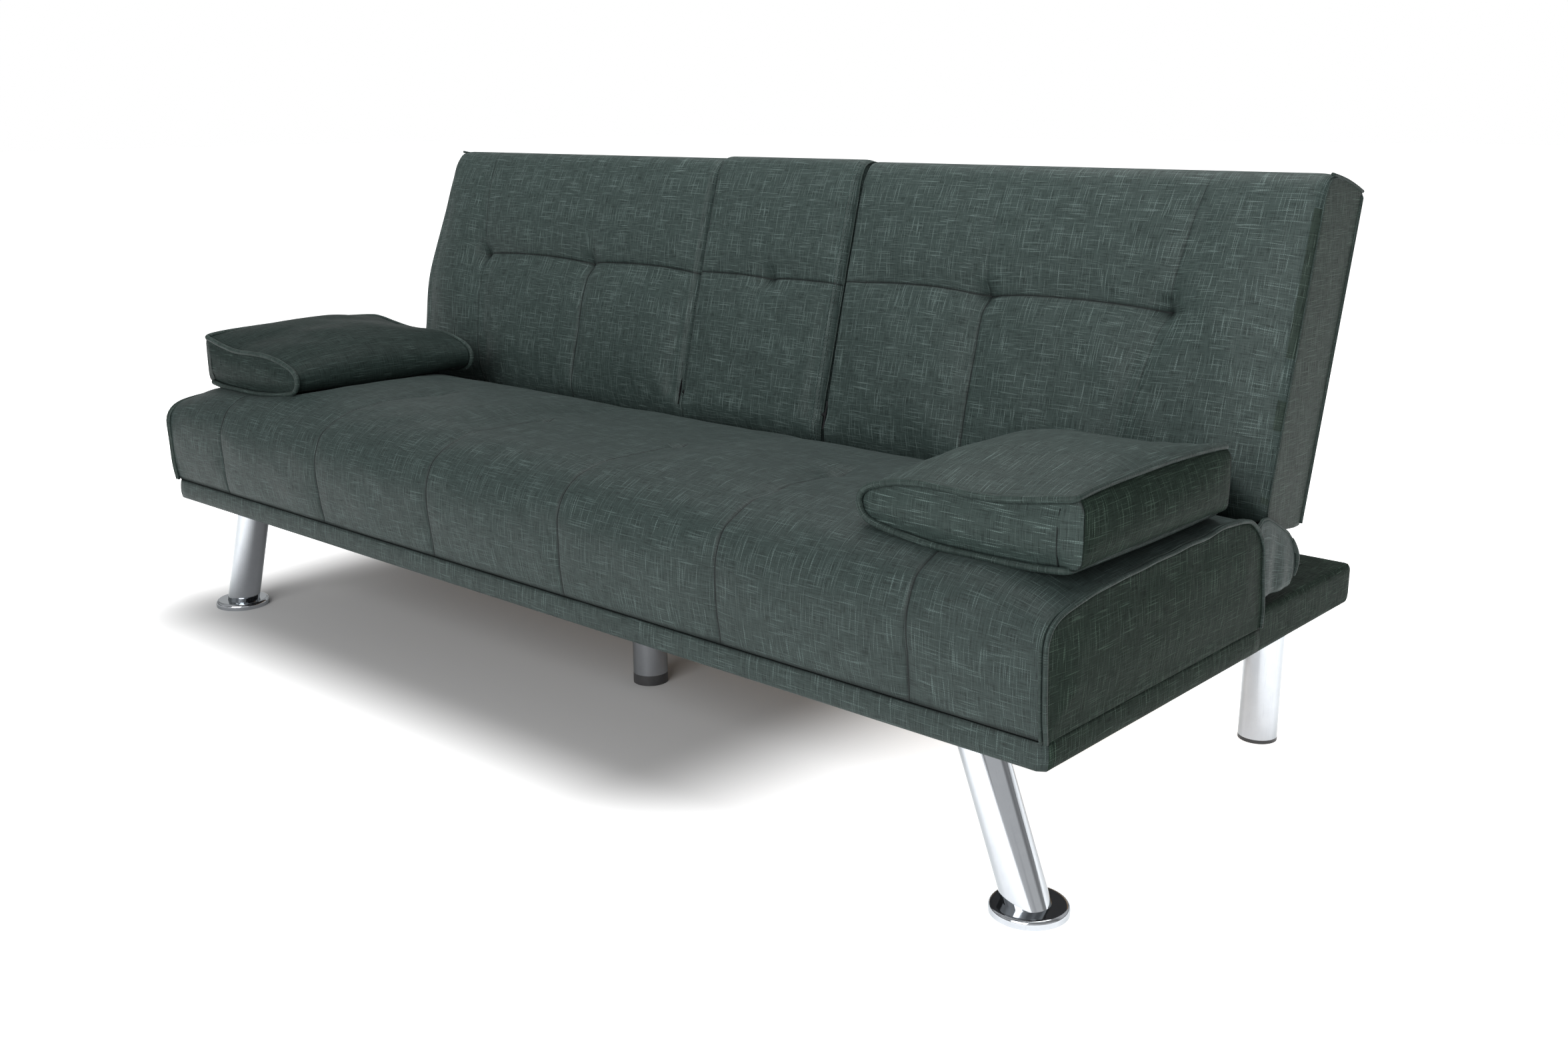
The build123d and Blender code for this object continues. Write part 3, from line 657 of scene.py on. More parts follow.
def buildSeat():
    print("seat pad")
    seams = mirrored(seatPad["seams"])
    coarseAcross = lines(-seatHalf, seatHalf, 19.0, seams, near=())
    coarse = halves(19.0, 760.0)
    rough = seatRings(coarseAcross, coarse)
    fade = seatSeamLine(rough)
    nearSeam = np.min(np.abs(coarseAcross[:, None] - np.array(seams)), axis=1) < 1.0
    held = np.where(nearSeam[:, None], fade, 0)
    held = np.where(rough[..., 2] < bandTop + 14, 1, held)
    held = np.where(rough[..., 1] > rearY - 45, 1, held)
    held[:, coarse > 1] = 1
    held[[0, -1]] = 1
    moved = inflate(rough, held, seatPad["pressure"], seatPad["limit"])
    across = lines(-seatHalf, seatHalf, seatPad["step"], [*seams, -seatHalf + 6, seatHalf - 6])
    part = halves(seatPad["step"], 760.0)
    rings = seatRings(across, part)
    rings = rings + spread(moved, coarseAcross, coarse, across, part)
    normal = ringNormals(rings)
    fade = seatSeamLine(rings)
    deep, seam = np.zeros(fade.shape), np.zeros(fade.shape)
    outside = (part <= 1)[None, :]
    for number, x in enumerate(seams):
        beside = rings[..., 0] - x
        deep += fade * (seatPad["grooveDepth"] * bell(beside, seatPad["grooveWidth"])
                        + seatPad["puff"] * bell(beside, seatPad["puffWidth"]))
        # a thin dark line along each seam: partly the seam itself, partly painted shade in its groove
        seam = np.maximum(seam, np.where(fade > 0.5, fade, 0) * bell(beside, 1.3))
        past = rings[..., 1] - frontY - seatPad["tuftBehind"]
        deep += tuftShape(beside, past, seatPad["tuftDepth"], 40 + number)
    deep -= 0.9 * unevenness(rings[..., 0], rings[..., 1] + rings[..., 2], 5)
    deep = np.where(outside, deep, 0) * smoothStep(0, 10, rings[..., 2] - bandTop)
    rings = rings - normal * deep[..., None]
    foot = outside * bell(rings[..., 2] - bandTop, 2.0)
    tuck = foot * 2.0 * (np.abs(rings[..., 0]) < seatHalf - 1)
    rings[..., 1] += tuck * np.sign(rearY + frontY - 2 * rings[..., 1])
    # a shallow dip where the folded console comes to lie
    behind = rings[..., 1] - frontY
    under = (1 - smoothStep(150, 215, np.abs(rings[..., 0]))) * smoothStep(60, 105, behind) * (behind < 425)
    roomZ = np.interp(behind, *seatPad["consoleRoom"])
    rings[..., 2] -= np.where(outside, np.maximum(0, rings[..., 2] - roomZ) * under, 0)
    # under the pillows
    close = smoothStep(500, 560, np.abs(rings[..., 0]))
    close = close * smoothStep(pillowLow[1] - 34, pillowLow[1] + 6, rings[..., 1])
    close = close * (1 - smoothStep(pillowHigh[1] + 4, pillowHigh[1] + 46, rings[..., 1]))
    dent = np.maximum(0, rings[..., 2] - pillowUnder(rings[..., 0]) + 2.0) * close
    rings[..., 2] -= np.where(outside, dent, 0)
    form = newForm()
    # painted shade along the crease at the seat's foot, where it tucks into the band
    loft(form, rings, seam + foot * 0.8, capSteps=22, capBulge=5.0, capReach=55.0)
    pad = finishPiece("seatPad", form, "base", shadedSeatLinen, ("seat_cover", "seat_foam"))
    paintShadedSides(pad, shadedSideLinen, 0.8, seatHalf - 8)  # the side panels get the linen copy with painted shade
    return rings, part


seatGrid, seatPart = buildSeat()


def buildSeatWelts():
    # a doubled cord runs round each side panel's edge
    form = newForm()
    over = int(np.sum(seatPart <= 1))
    for end, side in ((0, -1), (-1, 1)):
        edge = seatGrid[end, :over]
        inward = np.array([-side * 1.0, 0, 0])
        middle = np.array([0, (frontY + rearY) / 2, bandTop + 60])
        out = edge - middle * (0, 1, 1) - edge * (1, 0, 0)
        out /= np.linalg.norm(out, axis=1, keepdims=True)
        tube(form, evenPath(edge + out * 0.9 - inward * 0.4, 7.0), 2.5)
        tube(form, evenPath(edge + out * 1.3 + inward * 5.2, 7.0), 1.9)
    finishPiece("seatWelts", form, "base", cordLinen)


buildSeatWelts()

band = {"corner": 5.0, "bulge": 1.2}


def buildBand():
    print("band")
    form = newForm()
    half, corner = seatHalf - 0.5, band["corner"]
    path = [(-half, rearY - 1)]
    path += [(-half + corner * (1 - c), frontY + corner * (1 - s)) for s, c in quarter(7)]
    path += [(half - corner * (1 - s), frontY + corner * (1 - c)) for s, c in quarter(7)]
    path += [(half, rearY - 1)]
    path = evenPath([(x, y, 0) for x, y in path], 14.0)
    ahead = np.gradient(path, axis=0)
    ahead /= np.linalg.norm(ahead, axis=1, keepdims=True)
    out = np.stack([ahead[:, 1], -ahead[:, 0], np.zeros(len(path))], -1)
    rise = np.array([0, 1.2, 4, 10, 16, 22, 27, 30, 30.8, 30.8, 30, 20, 10, 4, 1, 0])
    bulge = band["bulge"]
    depth = np.array([2.2, 0.7, -0.1, -bulge, -bulge, -0.8, -0.1, 0.8, 2.2, 4.5,
                      6.5, 6.5, 6.5, 6.5, 6.2, 4.5])
    wave = unevenness(alongPath(path), 0 * path[:, 0], 9, 160.0)
    rings = path[:, None, :] - out[:, None, :] * depth[None, :, None]
    rings[..., 2] = bandLow[2] + rise[None, :]
    rings += out[:, None, :] * (0.35 * wave[:, None] * (depth[None, :] < 2))[..., None]
    # a thin dark line at the band's top: its seam, and painted shade where the seat meets it
    seam = np.broadcast_to(bell(rise - 30.8, 0.8)[None, :], rings.shape[:2])
    loft(form, rings, seam, capSteps=2)
    section = ((0, 3), (3, 0.3), (28, 0.3), (30.8, 3), (20, 6), (10, 6))  # up the band, in from its rear
    strip = np.array([[(x, rearY - d, bandLow[2] + z) for z, d in section]
                      for x in np.linspace(-798, 798, 60)])
    loft(form, strip, capSteps=2)
    wrap = finishPiece("seatBand", form, "base", shadedSeatLinen, ("seat_band",))
    # the band's ends get the linen copy with painted shade
    paintShadedSides(wrap, shadedSideLinen, 0.8, half - 8)


buildBand()


deck = {"round": 9.0, "endRound": 7.0, "fold": 46.0, "panelRise": 1.2}


def buildDeck():
    print("deck")
    half, low, high = deckHigh[0], deckLow[2], deckHigh[2]
    front, rear, r = deckLow[1] + 0.4, deckHigh[1], deck["round"]
    curve = quarter(6)
    over = [(front, low), (front, low + 20), (front, high - 4), (front + 1.2, high - 1.2), (front + 4, high)]
    over += [(front + 4 + t * (rear - r - front - 4), high) for t in np.linspace(0.08, 1, 16)]
    over += [(rear - r + r * s, high - r + r * c) for s, c in curve[1:]]
    over += [(rear, high - r - t * (high - low - 2 * r)) for t in (0.35, 0.7, 1)]
    over += [(rear - r + r * c, low + r - r * s) for s, c in curve[1:]]
    over = np.array(over)
    count = len(over) - 1
    inner = [(rear - 24, low), (rear - 24, low + 2.6), (rear - 2.7, low + 2.8), (rear - 2.7, high - 1.8),
             (front, high - 1.8), (front, low)]
    inner = evenPath([(y, z, 0) for y, z in inner], 1.0)
    run = alongPath([over[-1], inner[0, :2]])[-1]
    at = np.linspace(0, 1, count + 1)[1:-1] * (alongPath(inner)[-1] + run)
    walk = np.concatenate([[0], alongPath(inner) + run])
    path = np.vstack([[*over[-1], 0], inner])
    below = np.stack([np.interp(at, walk, path[:, k]) for k in range(2)], -1)
    flat = np.stack([np.linspace(over[-1, 0], front, count + 1)[1:-1], np.full(len(below), low)], -1)
    across = lines(-half, half, 16.0, (-half + 3, half - 3), near=(0.6, 1.6, 4, 8))
    edge = half - np.abs(across)
    pull = deck["endRound"] * (1 - np.sqrt(1 - np.clip(1 - edge / deck["endRound"], 0, 1) ** 2))
    hollowed = smoothStep(2.6, 3.4, edge)
    rings = []
    for x, tuck, gap in zip(across, pull, hollowed):
        top = over.copy()
        top[:, 1] = np.where(top[:, 1] > low + 20, top[:, 1] - tuck * (top[:, 1] - low - 20) / 30, top[:, 1])
        top[:, 0] = np.where(top[:, 0] > rear - 30, top[:, 0] - tuck * 0.9, top[:, 0])
        hollow = below * gap + flat * (1 - gap)
        hollow[:, 0] = np.minimum(hollow[:, 0], top[-1, 0])
        rings.append([(x, y, z) for y, z in [*top, *hollow]])
    form = newForm()
    loft(form, np.array(rings), capSteps=10, capBulge=0.6, capReach=10.0)
    # the whole deck wrap takes the linen copy with painted shade
    finishPiece("deckWrap", form, "base", shadedSideLinen, ("deck_cover",))
    form = newForm()
    inset = deck["fold"]
    reach, rise = half - inset, deck["panelRise"]
    rings = []
    for x in lines(-reach, reach, 30.0, (-reach + 1, reach - 1), near=()):
        drop = rise * 0.7 if abs(x) > reach - 0.5 else 0
        outline = [(front + 14, high - 0.6)]
        outline += [(y, high + rise - drop) for y in np.linspace(front + 16, rear - inset - 4, 9)]
        outline += [(rear - inset, high - 0.6)]
        outline += [(y, high - 0.9) for y in np.linspace(rear - inset, front + 14, 11)[1:-1]]
        rings.append([(x, y, z) for y, z in outline])
    loft(form, np.array(rings), capSteps=2)
    finishPiece("deckPanelCloth", form, "base", shadedInnerLinen)


buildDeck()


# The backrest is worked out upright: x, depth behind its face, rise along it, then leant back.
backrest = {
    "recline": math.radians(14.4), "footBehindSeat": 18.0, "footHeight": 340.0, "half": 819.5, "inner": 145.0,
    "length": 407.0, "rearDepth": 109.2,
    "face": [(50, -8), (24, -7), (8, -1), (-2, 15), (-5.5, 50), (-7, 110), (-7.5, 200), (-7, 290), (-5.5, 350),
             (-1, 384), (8, 400), (24, 407), (50, 408)],
    "end": [(50, -6), (27, -5), (14, -1), (9, 12), (7, 50), (7, 110), (7, 200), (7, 290), (7, 350), (8, 382),
            (14, 396), (28, 403), (50, 404)],
    "rear": [(50, 408), (98, 407.5), (106, 405), (109, 398), (109.2, 330), (109.2, 200), (109.2, 80), (109, 8),
             (106, 2), (92, -2), (50, -8)],
    "tuftRise": 226.0, "tuftDepth": 11.0, "tufts": {-1: (398.0, 671.0, 223.0), 1: (388.0, 652.0, 230.0)},
    "seamDepth": 2.2, "seamPuff": 1.3, "arch": 6.0,
    "pressure": 5.0, "limit": 9.0, "step": 7.0,
}
leanCos, leanSin = math.cos(backrest["recline"]), math.sin(backrest["recline"])
backFoot = (rearY + backrest["footBehindSeat"], backrest["footHeight"])


def lean(upright):
    made = np.array(upright, float)
    depth, rise = upright[..., 1], upright[..., 2]
    made[..., 1] = backFoot[0] + depth * leanCos + rise * leanSin
    made[..., 2] = backFoot[1] - depth * leanSin + rise * leanCos
    return made


def leftDrift(x, depth, rise):
    # the front of the backrest's left end swells out below its middle and rounds in towards the top
    reach = smoothStep(560, 820, -x) * (1 - smoothStep(45, 100, depth))
    return reach * (18.0 * smoothStep(230, 407, rise) - 16.0 * bell(rise - 165, 75.0))


def cushionRings(shape, across, part, low, high, lowRound, highRound):
    over, under = part[part <= 1], part[part > 1] - 1
    face, end, rear = (np.array(shape[key], float) for key in ("face", "end", "rear"))
    knots = alongPath(face) / alongPath(face)[-1]
    mid, side = splineThrough(knots, face, over), splineThrough(knots, end, over)
    rearRun = alongPath(rear) / alongPath(rear)[-1]
    back = np.stack([np.interp(under, rearRun, rear[:, k]) for k in range(2)], -1)
    share = np.ones(len(across))
    for edge, reach in ((across - low, lowRound), (high - across, highRound)):
        share = share * np.sqrt(1 - np.clip(1 - edge / reach, 0, 1) ** 2)
    share = share[:, None, None]
    top = side[None] * (1 - share) + mid[None] * share
    outline = np.concatenate([top, np.broadcast_to(back, (len(across), *back.shape))], axis=1)
    x = np.broadcast_to(across[:, None], outline.shape[:2])
    return np.stack([x, outline[..., 0], outline[..., 1]], -1)


def padFace(shape, low, high, lowRound, highRound, seams, tufts, seamEnds, seed):
    # seams: (line of x for a given rise, strength below the tufts, strength above)
    step, height = shape["step"], shape["tuftRise"]
    seamDepth, seamPuff = backrest["seamDepth"], backrest["seamPuff"]
    columns = [float(seam[0](height)) for seam in seams]
    coarseAcross = lines(low, high, 18.0, columns, near=())
    coarse = halves(18.0, 500.0)
    rough = cushionRings(shape, coarseAcross, coarse, low, high, lowRound, highRound)
    held = np.zeros(rough.shape[:2])
    for seam, below, above in seams:
        beside = np.abs(rough[..., 0] - seam(rough[..., 2]))
        held = np.maximum(held, (beside < 9.5) * np.where(rough[..., 2] < height, below, above) * 0.8)
    for x in tufts:
        held = np.maximum(held, np.hypot(rough[..., 0] - x, rough[..., 2] - height) < 14)
    row = np.abs(rough[..., 2] - height) < 9.5
    held = np.maximum(held, 0.9 * row * (rough[..., 0] > seamEnds[0]) * (rough[..., 0] < seamEnds[1]))
    topEdge = shape["face"][-1][1]
    held = np.where((rough[..., 1] > 12) | (rough[..., 2] > topEdge - 18), 1, held)
    held[:, coarse > 1] = 1
    held[[0, -1]] = 1
    moved = inflate(rough, held, shape["pressure"], shape["limit"])
    across = lines(low, high, step, columns)
    part = halves(step, 500.0)
    faceRun = alongPath(np.array(shape["face"], float))
    spot = np.interp(height, np.array(shape["face"])[3:10, 1], (faceRun / faceRun[-1])[3:10])
    extra = [spot + side * gap / faceRun[-1] for gap in (1.2, 3.0) for side in (-1, 1)]
    part = np.array(sorted([p for p in part if abs(p - spot) > 4.0 / faceRun[-1]] + [spot, *extra]))
    overs = np.sum(part <= 1)
    part = np.concatenate([part[part <= 1], 1 + np.linspace(0, 1, overs)[1:-1]])
    rings = cushionRings(shape, across, part, low, high, lowRound, highRound)
    rings = rings + spread(moved, coarseAcross, coarse, across, part)
    # grid columns lean with a slanted seam so that its groove stays crisp
    for seam, _, _ in seams:
        middle = float(seam(height))
        shift = seam(rings[..., 2]) - middle
        close = np.clip(1 - np.abs(across - middle) / 90.0, 0, 1)[:, None]
        rings[..., 0] += shift * close * (part <= 1)[None, :]
    # between two tufts the cross seam rises in a low arch
    ties = np.array(sorted({low, high, *tufts}))
    spot = np.clip(np.searchsorted(ties, rings[..., 0]) - 1, 0, len(ties) - 2)
    way = np.clip((rings[..., 0] - ties[spot]) / (ties[spot + 1] - ties[spot]), 0, 1)
    arch = shape["arch"] * 4 * way * (1 - way)
    rings[..., 2] += arch * np.clip(1 - np.abs(rings[..., 2] - height) / 120.0, 0, 1) * (part <= 1)[None, :]
    normal = ringNormals(rings)
    front = (rings[..., 1] < 30) & (part <= 1)[None, :]
    deep, seamShade = np.zeros(rings.shape[:2]), np.zeros(rings.shape[:2])
    # the seam lines: partly the seams, partly painted shade in their grooves
    for seam, below, above in seams:
        beside = rings[..., 0] - seam(rings[..., 2])
        strength = above + (below - above) * (1 - smoothStep(height - 10, height + 24, rings[..., 2]))
        deep += strength * (seamDepth * bell(beside, 1.9) + seamPuff * bell(beside, 20.0))
        seamShade = np.maximum(seamShade, np.clip(strength * 1.2 - 0.25, 0, 1) * bell(beside, 1.2))
    along = rings[..., 2] - height - arch
    reach = smoothStep(seamEnds[0] - 12, seamEnds[0] + 2, rings[..., 0])
    reach = reach * (1 - smoothStep(seamEnds[1] - 2, seamEnds[1] + 12, rings[..., 0]))
    deep += reach * (seamDepth * bell(along, 1.8) + seamPuff * bell(along, 18.0))
    seamShade = np.maximum(seamShade, reach * bell(along, 1.2))
    # painted shade in each tuft's dimple
    for number, x in enumerate(tufts):
        deep += tuftShape(rings[..., 0] - x, along, shape["tuftDepth"], seed + number)
        seamShade = np.maximum(seamShade, 0.85 * bell(np.hypot(rings[..., 0] - x, along), 4.5))
    deep -= 0.9 * unevenness(rings[..., 0], rings[..., 2], seed, 110.0)
    quiet = np.clip(np.minimum(across - low, high - across) / 30.0, 0, 1)[:, None]
    quiet = quiet * np.clip((topEdge - 4 - rings[..., 2]) / 36.0, 0, 1)
    return rings - normal * (np.where(front, deep, 0) * quiet)[..., None], np.where(front, seamShade, 0), part


def cutAway(made, low, high, place=None, rounds=0, radius=0.0):
    # takes a box, or a round well, out of a closed piece
    work = bmesh.new()
    if rounds:
        bmesh.ops.create_cone(work, cap_ends=True, segments=rounds, radius1=radius * mm, radius2=radius * mm,
                              depth=(high - low) * mm, matrix=place)
    else:
        middle, size = (np.array(low) + high) / 2, np.array(high) - low
        bmesh.ops.create_cube(work, size=1.0)
        corners = lean(np.array([v.co[:] for v in work.verts]) * size + middle) * mm
        for vertex, spot in zip(work.verts, corners):
            vertex.co = spot
    bmesh.ops.recalc_face_normals(work, faces=work.faces)
    mesh = bpy.data.meshes.new("cutter")
    work.to_mesh(mesh)
    work.free()
    cutter = bpy.data.objects.new("cutter", mesh)
    stage.collection.objects.link(cutter)
    cut = made.modifiers.new("cut", "BOOLEAN")
    cut.operation, cut.solver, cut.object = "DIFFERENCE", "EXACT", cutter
    result = bpy.data.meshes.new_from_object(made.evaluated_get(bpy.context.evaluated_depsgraph_get()))
    made.modifiers.clear()
    made.data = result
    bpy.data.objects.remove(cutter)


def buildBackCushion(side):
    label = "left" if side < 0 else "right"
    print("back cushion", label)
    tightInner = backrest["inner"] - (1.6 if side < 0 else -0.6)
    low, high = sorted((side * tightInner, side * backrest["half"]))
    rounds = (9.0, 22.0) if side > 0 else (22.0, 7.0)
    middleTuft, outerTuft, height = backrest["tufts"][side]
    straight, slanted = side * middleTuft, side * outerTuft

    def slant(rise):
        return slanted + side * (rise - height) * 0.15

    seams = [(lambda rise: straight + 0 * rise, 0.95, 0.34), (slant, 0.55, 0.65)]
    ends = (low, slanted) if side > 0 else (slanted, high)
    shape = {**backrest, "tuftRise": height}
    tufts, seed = (straight, slanted), 60 + 10 * side
    rings, shade, part = padFace(shape, low, high, *rounds, seams, tufts, ends, seed)
    rings[..., 0] += leftDrift(rings[..., 0], rings[..., 1], rings[..., 2])
    form = newForm()
    loft(form, lean(rings), shade, capSteps=14, capBulge=0.6, capReach=45.0)
    cushion = makeObject(f"backCushion_{label}", form)
    cushion.data.materials.append(litBackLinen)
    slotIn, slotOut = 784.0, 812.0
    x0, x1 = sorted((side * slotIn, side * slotOut))
    cutAway(cushion, (x0, 10.0, -12.0), (x1, 140.0, 34.0))
    # the cushion ends take a linen copy with painted shade
    paintShadedSides(cushion, shadedGussetLinen, 0.75, backrest["half"] - 4)
    finishObject(cushion, "backrest", (f"back_cover_{label}", f"back_foam_{label}"))
    return rings, part


backGrids = {side: buildBackCushion(side) for side in (-1, 1)}


def buildBackWelts():
    # fine seam cord at the front of each outer side, and a welt round the rear edge
    form = newForm()
    half, top, rear = backrest["half"], backrest["length"], backrest["rearDepth"] - 1.0
    for side in (-1, 1):
        rings, part = backGrids[side]
        edge = rings[-1 if side > 0 else 0][:int(np.sum(part <= 1))]
        edge = edge[(edge[:, 1] < 49)]
        tube(form, lean(evenPath(edge + (side * 0.1, -0.2, 0), 7.0)), 1.1)
    corner = 9.0
    turns = [(half - corner + corner * c, top - 2 - corner + corner * s) for s, c in quarter(6)]
    path = [(half, 4.0), *turns]
    path = [(x, rear, s) for x, s in path] + [(-x, rear, s) for x, s in reversed(path)]
    tube(form, lean(evenPath(path, 8.0)), 2.3)
    for side in (-1, 1):
        corner = [(side * half + leftDrift(side * half, 14.0 + 94 * t, 404.0), 14.0 + 94 * t,
                   404.0 + 2.5 * math.sin(math.pi * t)) for t in np.linspace(0, 1, 12)]
        tube(form, lean(evenPath(corner, 7.0)), 2.0)
    finishPiece("backWelts", form, "backrest", cordLinen)


buildBackWelts()


def buildRearPanel():
    print("rear panel")
    form = newForm()
    half, low, high, depth = backrest["half"] - 2.5, 36.5, backrest["length"] - 4, backrest["rearDepth"] + 0.1
    across = lines(-half, half, 24.0, (-half + 3, half - 3), near=(1.5,))
    rises = lines(low, high, 20.0, (low + 3, high - 3), near=(1.5,))
    rings = []
    for x in across:
        edge = np.minimum(half - abs(x), np.minimum(rises - low, high - rises))
        crown = 1.5 * smoothStep(0, 160, edge) * (0.6 + 0.4 * math.sin(x / 130))
        out = depth + 0.8 + 2.2 * smoothStep(0, 12, edge) + crown
        over = [(x, d, s) for d, s in zip(out, rises)]
        under = [(x, depth, s) for s in rises[::-1]][1:-1]
        rings.append([*over, *under])
    loft(form, lean(np.array(rings)), capSteps=1)
    # cloth folded over the top rail behind the console
    fold = [(79, 403.6), (80.5, 406.8), (106, 407), (109.6, 404), (108, 403.3), (80, 403.3)]
    strip = np.array([[(x, d, s) for d, s in fold] for x in np.linspace(-146, 146, 30)])
    loft(form, lean(strip), capSteps=1)
    # the rear panel takes the linen copy with painted shade
    finishPiece("backRearPanel", form, "backrest", shadedSideLinen, ("back_rear_cover",))


buildRearPanel()

console = {
    "low": -141.8, "high": 139.6, "step": 5.5,
    "face": [(40, -6), (20, -5), (7, 0), (-2, 14), (-5, 45), (-6.5, 110), (-7, 200), (-6.5, 290), (-5, 352),
             (-1, 386), (7, 402), (20, 409), (40, 410.5)],
    "end": [(40, -5), (22, -3), (13, 1), (8, 13), (6, 45), (6, 110), (6, 200), (6, 290), (6, 352), (7, 385),
            (12, 399), (24, 406), (40, 408)],
    "rear": [(40, 410.5), (66, 410), (73, 407), (75.6, 400), (75.8, 300), (75.8, 200), (75.8, 60), (75.6, 28),
             (69, 10), (57, 1), (40, -6)],
    "tuftRise": 226.0, "tuftDepth": 11.0, "pressure": 3.0, "limit": 3.0, "cupRadius": 41.0, "arch": 2.0,
}


def buildConsole():
    print("console")
    low, high = console["low"], console["high"]
    rings, shade, part = padFace(console, low, high, 12.0, 12.0, [], (0.0,), (low, high), 90)
    form = newForm()
    loft(form, lean(rings), shade, capSteps=12, capBulge=0.4, capReach=20.0)
    pad = makeObject("consolePad", form)
    pad.data.materials.append(litBackLinen)
    for name in ("cup_holder_left", "cup_holder_right"):
        cupLow, cupHigh = boxOf(name)
        x = (cupLow[0] + cupHigh[0]) / 2
        middle = lean(np.array([x, 52.0, 300.0]))
        turn = Matrix.Rotation(math.pi / 2 - backrest["recline"], 4, "X")
        cutAway(pad, 24.0, 80.0, Matrix.Translation(Vector(middle * mm)) @ turn, 64, console["cupRadius"])
    finishObject(pad, "console", ("console_cover", "console_foam"))
    # flat welt with two rows of topstitch down the right front edge, a cord down the left
    over = int(np.sum(part <= 1))
    cords, stitches = newForm(), newForm()
    for end, gap in ((0, 1.8), (-1, -0.2)):
        edge = rings[end, :over]
        edge = edge[(edge[:, 1] < 36)]
        tube(cords, lean(evenPath(edge + (gap, -0.4, 0), 6.0)), 1.4)
    columns = rings[:, 0, 0]
    for inset in (7.0, 10.5):
        line = rings[np.argmin(np.abs(columns - (high - inset)))][:over]
        line = line[(line[:, 1] < 12)]
        line = lean(line + (0, -0.45, 0))
        stitchRow(stitches, line)
    finishPiece("consoleWelts", cords, "console", cordLinen)
    finishPiece("consoleStitches", stitches, "console", stitchLinen)


buildConsole()

armPillow = {
    "over": [(549, 403), (551, 412), (562, 420), (584, 427), (634, 435), (678, 435), (728, 434), (791, 441),
             (826, 446), (838, 446), (842, 441), (843.5, 424), (844, 407)],
    "under": [(844, 407), (843.5, 392), (842, 381), (836, 376.5), (824, 376), (788, 373.5), (731, 373), (656, 374),
              (610, 378), (575, 383), (560, 387), (552, 394), (549, 403)],
    # taken off the front, taken off the rear, where the nose and the outer side lie
    "trim": {-1: (9.0, 0.0, 549.0, 822.0), 1: (0.0, 30.0, 563.0, 832.0)},
    "weltOver": 0.86, "weltUnder": 0.14, "pressure": 17.0, "limit": 36.0, "capBulge": 6.0, "cord": 3.9,
    "crown": 12.0,
}


